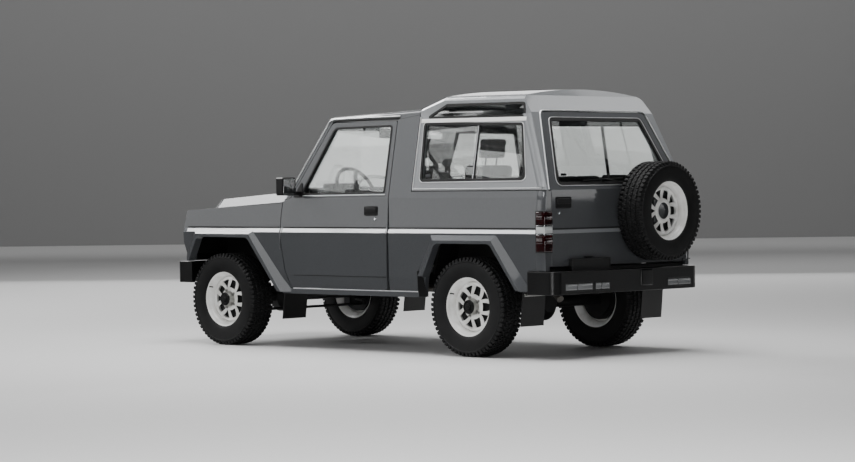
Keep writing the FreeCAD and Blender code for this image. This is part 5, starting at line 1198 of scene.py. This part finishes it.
# %% [markdown]
# Mirrors: a pane of silvered glass faces the driver, a few millimetres proud of the shell, and a
# black triangle fixes each mirror's foot to the corner of the door window.

# %% Mirrors
MIRROR_PANE = [(850, 1148), (966, 1144), (966, 1262), (850, 1262)]
MIRROR_SAIL = [(770, 1120, 8), (868, 1122, 8), (868, 1150, 10), (846, 1240, 10)]
mirror_back = upright_face(871, REARWARD)
for side, sign in SIGNS.items():
    pane, door = [(sign * x, z, 12) for x, z in MIRROR_PANE], f"door_{side}"
    plate_piece(f"mirror_pane_{side}", pane, mirror_back, 0, 3.5, mirror_glass, door, 1)
    ring_piece(f"mirror_lip_{side}", pane, mirror_back, -1, 5, -3, 5, bumper_plastic, door)
    plate_piece(f"mirror_sail_{side}", MIRROR_SAIL, SIDES[side], 1, 7, bumper_plastic, door, 2)
block_piece("cabin_mirror_shell", (-118, 1024, 1560), (118, 1046, 1622), cabin_plastic, "root", 9)
cabin_pane, shell_back = rectangle(-112, 1566, 112, 1616, 9), upright_face(1046, REARWARD)
plate_piece("cabin_mirror_pane", cabin_pane, shell_back, 0, 2.5, mirror_glass, "root", 0.8)
wire_piece("cabin_mirror_stalk", [spot(0, 1036, 1612), spot(0, 1052, 1650)], 6, cabin_plastic, "root")
print("mirrors")

# %% [markdown]
# Black polypropylene guards protect the front edge of each rear arch, and every mud flap has a steel
# strip that clamps its top edge.

# %% Arch guards and flap strips
ARCH_GUARD = [(2050, 411, 8), (2142, 411, 8), (2118, 500, 20), (2096, 598, 8), (2050, 598, 8)]
for side, lay in SIDES.items():
    plate_piece(f"arch_guard_{side}", ARCH_GUARD, lay, 0.5, 7, bumper_plastic, "root", 3)
for side in SIDES:
    for place, station in (("front", 641), ("rear", 3031)):
        strip = (540, station, 432), (756, station + 16, 452)
        side_block(f"flap_strip_{place}", side, *strip, zinc_steel, 2, 2)
print("guards and strips")

# %% [markdown]
# Seats are foam under woven cloth. Each cushion starts as a slightly small block of the CAD cushion's
# side view, is remeshed into even faces, and is blown up a little as cloth with pressure, so its
# middle crowns and its sides pull in. Sewn channels are pressed in afterwards.

# %% Stuffed cushions
SHRINK, VOXEL, CAP, PRESSURE, MOMENTS = 9, 13, 16, 4, 20


def settle(block):
    """Gives an object the mesh that its modifiers make, and takes them off."""
    shaped = block.evaluated_get(bpy.context.evaluated_depsgraph_get())
    block.data = bpy.data.meshes.new_from_object(shaped)
    block.modifiers.clear()


def foam_block(name, corners, x0, x1):
    """The cushion's block before it is stuffed: a side view pushed across and remeshed."""
    bm = bmesh.new()
    outline = grown(rounded_corners(corners), -SHRINK)
    near = [bm.verts.new(spot(x0 + SHRINK, p.x, p.y)) for p in outline]
    far = [bm.verts.new(spot(x1 - SHRINK, p.x, p.y)) for p in outline]
    bm.faces.new(near)
    bm.faces.new(far)
    bmesh.ops.bridge_loops(bm, edges=list(bm.edges))
    bmesh.ops.recalc_face_normals(bm, faces=bm.faces)
    mesh = bpy.data.meshes.new(name)
    bm.to_mesh(mesh)
    bm.free()
    block = bpy.data.objects.new(name, mesh)
    bpy.context.scene.collection.objects.link(block)
    even = block.modifiers.new("even_faces", "REMESH")
    even.mode, even.voxel_size = "VOXEL", VOXEL * MM
    settle(block)
    return block


def blow_up(block):
    """Cloth with pressure for a number of frames, no point moving further than the cap."""
    starts = [vert.co.copy() for vert in block.data.vertices]
    cloth = block.modifiers.new("stuffing", "CLOTH")
    cloth.settings.use_pressure = True
    cloth.settings.uniform_pressure_force = PRESSURE
    cloth.settings.effector_weights.gravity = 0
    for moment in range(1, MOMENTS + 1):
        bpy.context.scene.frame_set(moment)
    settle(block)
    bpy.context.scene.frame_set(1)
    for vert, start in zip(block.data.vertices, starts):
        shift = vert.co - start
        if shift.length > CAP * MM:
            vert.co = start + shift.normalized() * CAP * MM


def sew(mesh, channels, depth=6, width=9):
    """Presses sewn channels in: each is an axis number and a place along it in metres."""
    normals = [vert.normal.copy() for vert in mesh.vertices]
    for vert, normal in zip(mesh.vertices, normals):
        pull = sum(math.exp(-((vert.co[axis] - place) / (width * MM)) ** 2) for axis, place in channels)
        vert.co -= normal * min(pull, 1) * depth * MM


def cushion(name, corners, x0, x1, body, channels, mirrored=False):
    """One stuffed cushion, or a pair of them left and right."""
    block = foam_block(name, corners, x0, x1)
    blow_up(block)
    sew(block.data, channels)
    block.data.materials.append(seat_cloth)
    block.data.shade_smooth()
    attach(block, body)
    pieces = [block]
    if mirrored:
        bm = bmesh.new()
        bm.from_mesh(block.data)
        bmesh.ops.scale(bm, vec=(-1, 1, 1), verts=bm.verts)
        bmesh.ops.reverse_faces(bm, faces=bm.faces)
        pieces.append(mesh_piece(f"{name}_right", bm, seat_cloth, body))
    for piece in pieces:
        soften(piece, "softer")
    return pieces


# %% Front seats
SEAT_INNER, SEAT_OUTER, CHANNEL_HALF = 90, 590, 130
seat_middle = (SEAT_INNER + SEAT_OUTER) / 2
headrest_ends = seat_middle - CHANNEL_HALF, seat_middle + CHANNEL_HALF
across = [(0, x * MM) for x in headrest_ends]
SEAT_CUSHION = [(1130, 694, 40), (1120, 850, 60), (1200, 872, 60), (1590, 828, 20), (1610, 694, 20)]
SEAT_BACK = [(1566, 768, 40), (1690, 1378, 44), (1790, 1358, 44), (1706, 748, 50)]
HEADREST = [(1712, 1394, 30), (1742, 1560, 40), (1818, 1540, 30), (1794, 1386, 30)]
thigh_seam, back_seam = [(1, spot(0, 1290, 0).y)], [(2, spot(0, 0, 980).z)]
seats = cushion("seat_cushion", SEAT_CUSHION, SEAT_INNER, SEAT_OUTER, "root", across + thigh_seam, True)
cushion("seat_back", SEAT_BACK, SEAT_INNER + 10, SEAT_OUTER - 10, "root", across + back_seam, True)
cushion("headrest", HEADREST, *headrest_ends, "root", [], True)
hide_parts("seat_left")
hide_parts("seat_right")
print("front seats, the middle of the left one at", round(seat_middle), "mm")

# %% Rear bench and the seats' feet
BENCH_CUSHION = [(2160, 644, 30), (2150, 800, 50), (2552, 770, 20), (2552, 644, 20)]
BENCH_BACK = [(2548, 706, 36), (2640, 1290, 40), (2730, 1270, 40), (2648, 696, 36)]
BENCH_HALF = 480
bench_lines = [(0, x * MM) for x in (0, -240, 240)]
bench = cushion("bench_cushion", BENCH_CUSHION, -BENCH_HALF, BENCH_HALF, "root", bench_lines)
cushion("bench_back", BENCH_BACK, -BENCH_HALF, BENCH_HALF, "root", bench_lines)
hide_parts("rear_bench")
for side, sign in SIGNS.items():
    for number, (x, post_x) in enumerate(((160, seat_middle - 60), (520, seat_middle + 60))):
        runner = (x - 18, 1180, 571), (x + 18, 1580, 600)
        riser = (x - 12, 1230, 598), (x + 12, 1540, 706)
        side_block(f"seat_runner_{number}", side, *runner, zinc_steel, 4)
        side_block(f"seat_riser_{number}", side, *riser, chassis_paint, 4)
        post = [spot(sign * post_x, 1742, 1330), spot(sign * post_x, 1760, 1420)]
        wire_piece(f"headrest_post_{number}_{side}", post, 6, chrome, "root")
    side_block("bench_leg", side, (360, 2220, 571), (400, 2540, 656), chassis_paint, 4)
print("seats stuffed")

# %% [markdown]
# The steering wheel has a soft round rim on three flat spokes with a square pad. The dashboard has a
# hooded pod with two dials, a row of vents and a grab bar.

# %% Steering wheel
WHEEL_TILT, GRIP_CIRCLE, GRIP_RADIUS, GRIP_STEPS = math.radians(27), 181, 13.5, 14
column_axis = Vector((0, math.cos(WHEEL_TILT), math.sin(WHEEL_TILT)))
wheel_up = Vector((0, -math.sin(WHEEL_TILT), math.cos(WHEEL_TILT)))
wheel_frame = Matrix((column_axis, wheel_up.cross(column_axis), wheel_up)).transposed()
bm = bmesh.new()
angles = [math.tau * i / GRIP_STEPS for i in range(GRIP_STEPS)]
spin_profile(bm, [(GRIP_RADIUS * math.cos(a), GRIP_CIRCLE + GRIP_RADIUS * math.sin(a)) for a in angles], 72)
spin_profile(bm, [(-34, 0), (-34, 44), (-6, 58), (6, 54), (10, 44), (12, 0)], 40, closed=False)
for heading in (90, 205, 335):
    spoke = bmesh.ops.create_cube(bm, size=1)["verts"]
    bmesh.ops.scale(bm, vec=Vector((7, 34, 130)) * MM, verts=spoke)
    bmesh.ops.translate(bm, vec=Vector((-4, 0, 112)) * MM, verts=spoke)
    turn_round(bm, heading, "X", spoke)
bmesh.ops.rotate(bm, cent=(0, 0, 0), matrix=wheel_frame, verts=bm.verts)
bmesh.ops.translate(bm, vec=spot(350, 1010, 1170), verts=bm.verts)
steering = mesh_piece("steering_wheel_rim", bm, cabin_plastic, NODES["steering_wheel"]["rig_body"], sharp=35)
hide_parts("steering_wheel")
print("the steering wheel is", round(2 * (GRIP_CIRCLE + GRIP_RADIUS)), "mm across")

# %% Dashboard
block_piece("instrument_pod", (200, 800, 1150), (500, 905, 1222), cabin_plastic, "root", 18)
for number, x in enumerate((290, 410)):
    bm = bmesh.new()
    spin_profile(bm, [(0, 0), (0, 34), (5, 36), (6, 32), (1.5, 29), (1.5, 0)], 32, closed=False)
    place_wheel(bm, spot(x, 904, 1186), 90)
    mesh_piece(f"dial_{number}", bm, bumper_plastic, "root", sharp=30)
on_dashboard = upright_face(904, REARWARD)
for number, x in enumerate((-560, -420, -60, 60, 600)):
    vent = rectangle(x - 45, 1080, x + 45, 1130, 6)
    ring_piece(f"vent_{number}", vent, on_dashboard, 6, 4, -2, 6, seal_rubber, "root", 1.5)
    for row, z in enumerate(range(1086, 1134, 12)):
        slat = rectangle(x - 38, z, x + 38, z + 3)
        plate_piece(f"vent_slat_{number}_{row}", slat, on_dashboard, 0, 4, cabin_plastic, "root", 0.5)
GRAB_BAR = [(-620, 906, 1165), (-600, 938, 1170), (-380, 938, 1170), (-360, 906, 1165)]
wire_piece("grab_bar", [spot(*place) for place in GRAB_BAR], 9, cabin_plastic, "root")
for side in SIDES:
    side_block("sun_visor", side, (120, 1090, 1636), (560, 1230, 1652), seat_cloth, 6)
print("dashboard, grab bar and visors")

# %% Levers
LEVERS = {
    "gear": (7, [(40, 1120, 580), (30, 1180, 760), (30, 1190, 850)], (30, 1192, 866)),
    "transfer": (6, [(-50, 1160, 580), (-55, 1200, 700), (-55, 1206, 760)], (-55, 1208, 774)),
}
for name, (radius, bends, knob) in LEVERS.items():
    wire_piece(f"{name}_lever", [spot(*bend) for bend in bends], radius, chrome, "root")
for name, (radius, bends, knob) in LEVERS.items():
    bm = bmesh.new()
    bmesh.ops.create_uvsphere(bm, u_segments=20, v_segments=12, radius=21 * MM)
    bmesh.ops.translate(bm, vec=spot(*knob), verts=bm.verts)
    mesh_piece(f"{name}_knob", bm, cabin_plastic, "root")
print("cabin fitted")

# %% [markdown]
# The photograph was taken from behind the left rear corner with a long lens, so parallel edges
# hardly converge. Position, direction and lens were solved from wheels and window corners.

# %% Camera
CAMERA_X, CAMERA_STATION, CAMERA_HEIGHT = 14454.65, 15216.80, 1238.70
YAW, PITCH, ROLL = 0.8095, -0.0189, -0.0114
FOCAL_PIXELS, PICTURE_WIDTH = 2674.33, 855
SHIFT_PIXELS = (3.249, -0.299)
SENSOR_MM = 36
ahead = Vector((-math.sin(YAW) * math.cos(PITCH), -math.cos(YAW) * math.cos(PITCH), math.sin(PITCH)))
level = Vector((-math.cos(YAW), math.sin(YAW), 0))
upward = level.cross(ahead)
side = math.cos(ROLL) * level + math.sin(ROLL) * upward
top = -math.sin(ROLL) * level + math.cos(ROLL) * upward
lens = bpy.data.cameras.new("studio_camera")
lens.sensor_width = SENSOR_MM
lens.lens = FOCAL_PIXELS / PICTURE_WIDTH * SENSOR_MM
lens.shift_x = -SHIFT_PIXELS[0] / PICTURE_WIDTH
lens.shift_y = SHIFT_PIXELS[1] / PICTURE_WIDTH
lens.clip_end = 200
camera = bpy.data.objects.new("studio_camera", lens)
bpy.context.scene.collection.objects.link(camera)
turned = Matrix((side, top, -ahead)).transposed().to_4x4()
camera.matrix_world = Matrix.Translation(spot(CAMERA_X, CAMERA_STATION, CAMERA_HEIGHT)) @ turned
bpy.context.scene.camera = camera
print("the lens is", round(lens.lens, 1), "mm")

# %% [markdown]
# The studio is a pale floor that meets a grey backdrop far behind the car. Enamel shows what is around it, so
# each soft box stands where a face of the car mirrors it: overhead and ahead for the bright upper edges, in
# low strips for the doors. Two black flags lie on the far floor, where the camera, diffuse light and shadows
# don't see them. They are painted dark reflections, which darken the lower sides and the tailgate. A lit card
# on the far side makes the windows bright.

# %% Studio
def stage_sheet(name, width, depth, hex_text, roughness, centre, tilt=0, heading=0):
    """A flat sheet of the studio, laid or stood at its centre; sizes in metres, angles in degrees."""
    material = new_finish(f"{name}_paint", Base_Color=colour(hex_text), Roughness=roughness)[0]
    bm = bmesh.new()
    bmesh.ops.create_grid(bm, x_segments=1, y_segments=1, size=0.5)
    bmesh.ops.scale(bm, vec=(width, depth, 1), verts=bm.verts)
    turn_round(bm, tilt, "X")
    turn_round(bm, heading, "Z")
    bmesh.ops.translate(bm, vec=centre, verts=bm.verts)
    mesh = bpy.data.meshes.new(name)
    bm.to_mesh(mesh)
    bm.free()
    mesh.materials.append(material)
    sheet = bpy.data.objects.new(name, mesh)
    bpy.context.scene.collection.objects.link(sheet)
    return sheet


# %% Floor, backdrop and flags
stage_sheet("studio_floor", 160, 160, "#CFCFCF", 0.75, (0, 0, 0))
stage_sheet("studio_backdrop", 160, 60, "#8E8E8E", 0.9, (-24, -24, 30), 90, -45)
# Painted reflections: black sheets that show only in reflections and darken the lower sides and the tailgate.
for name, centre in {"left_reflection_flag": (31.2, -28.8, 0.002), "rear_reflection_flag": (-29, 33.8, 0.002)}.items():
    flag = stage_sheet(name, 60, 60, "#060606", 0.9, centre)
    flag.visible_camera = flag.visible_diffuse = flag.visible_shadow = False
print("the studio has a floor, a backdrop and two flags")


# %% Soft boxes, as place, target, width, height, power and spread
STUDIO_LEVEL = 1.14


def soft_box(name, place, target, width, height, power, spread=180):
    """A rectangular lamp at a place, turned to a target, with its spread in degrees."""
    lamp = bpy.data.lights.new(name, "AREA")
    lamp.shape = "RECTANGLE"
    lamp.size, lamp.size_y = width, height
    lamp.energy = power * STUDIO_LEVEL
    lamp.spread = math.radians(spread)
    box = bpy.data.objects.new(name, lamp)
    bpy.context.scene.collection.objects.link(box)
    box.location = place
    box.rotation_euler = (Vector(target) - Vector(place)).to_track_quat("-Z", "Y").to_euler()
    box.visible_camera = False


SOFT_BOXES = {
    "overhead_box": ((1, 1, 6), (1, 1, 0), 5, 5, 210, 110),
    "front_box": ((1, -11, 8.3), (0, 0, 1), 16, 2.6, 1150),
    "upper_front_box": ((-0.5, -8.4, 9.6), (0, 0, 1), 7, 2.4, 420),
    "wheel_box": ((8.5, 7.5, 0.7), (0, 0.5, 0.5), 4, 1.2, 130),
    "corner_box": ((10, 9.5, 6), (0, 1.5, 1.2), 2.5, 2.5, 110),
    "pillar_box": ((10.9, -2.4, 4.8), (0.7, 1.7, 1.4), 1.2, 2.6, 85),
    "flare_box": ((11, 0, 7), (0, 0, 0.8), 6, 3, 90),
    "mirror_strip": ((-9.5, 9, 1.12), (0, 1, 1.05), 7, 0.45, 18),
    "low_strip": ((9.8, -10.2, 1.7), (0, 0, 1), 10, 1, 48),
    "middle_strip": ((9.5, -9.8, 4.9), (0, 0, 1.2), 9, 1.8, 60),
    "rear_box": ((-9, 3.5, 7.5), (0, 2, 1.2), 5, 4, 110),
    "near_floor_box": ((8, 8.5, 5.5), (8, 8.5, 0), 8, 8, 330, 100),
    "far_card": ((-10.5, -9.5, 3.1), (0, 0, 1.6), 15, 4.4, 280),
    "far_floor_box": ((-12, -12, 9), (-14, -14, 0), 30, 8, 480, 150),
    "backdrop_wash": ((-17, -17, 12), (-24, -24, 5), 34, 2, 770, 120),
}
for name, setting in SOFT_BOXES.items():
    soft_box(name, *setting)
world = bpy.data.worlds.new("studio_air")
bpy.context.scene.world = world
world.use_nodes = True
air = world.node_tree.nodes["Background"]
air.inputs["Color"].default_value = colour("#A0A0A0")
air.inputs["Strength"].default_value = 0.02
print("the studio has", len(bpy.data.lights), "lamps")

# %% Last update of the scene
bpy.context.view_layer.update()
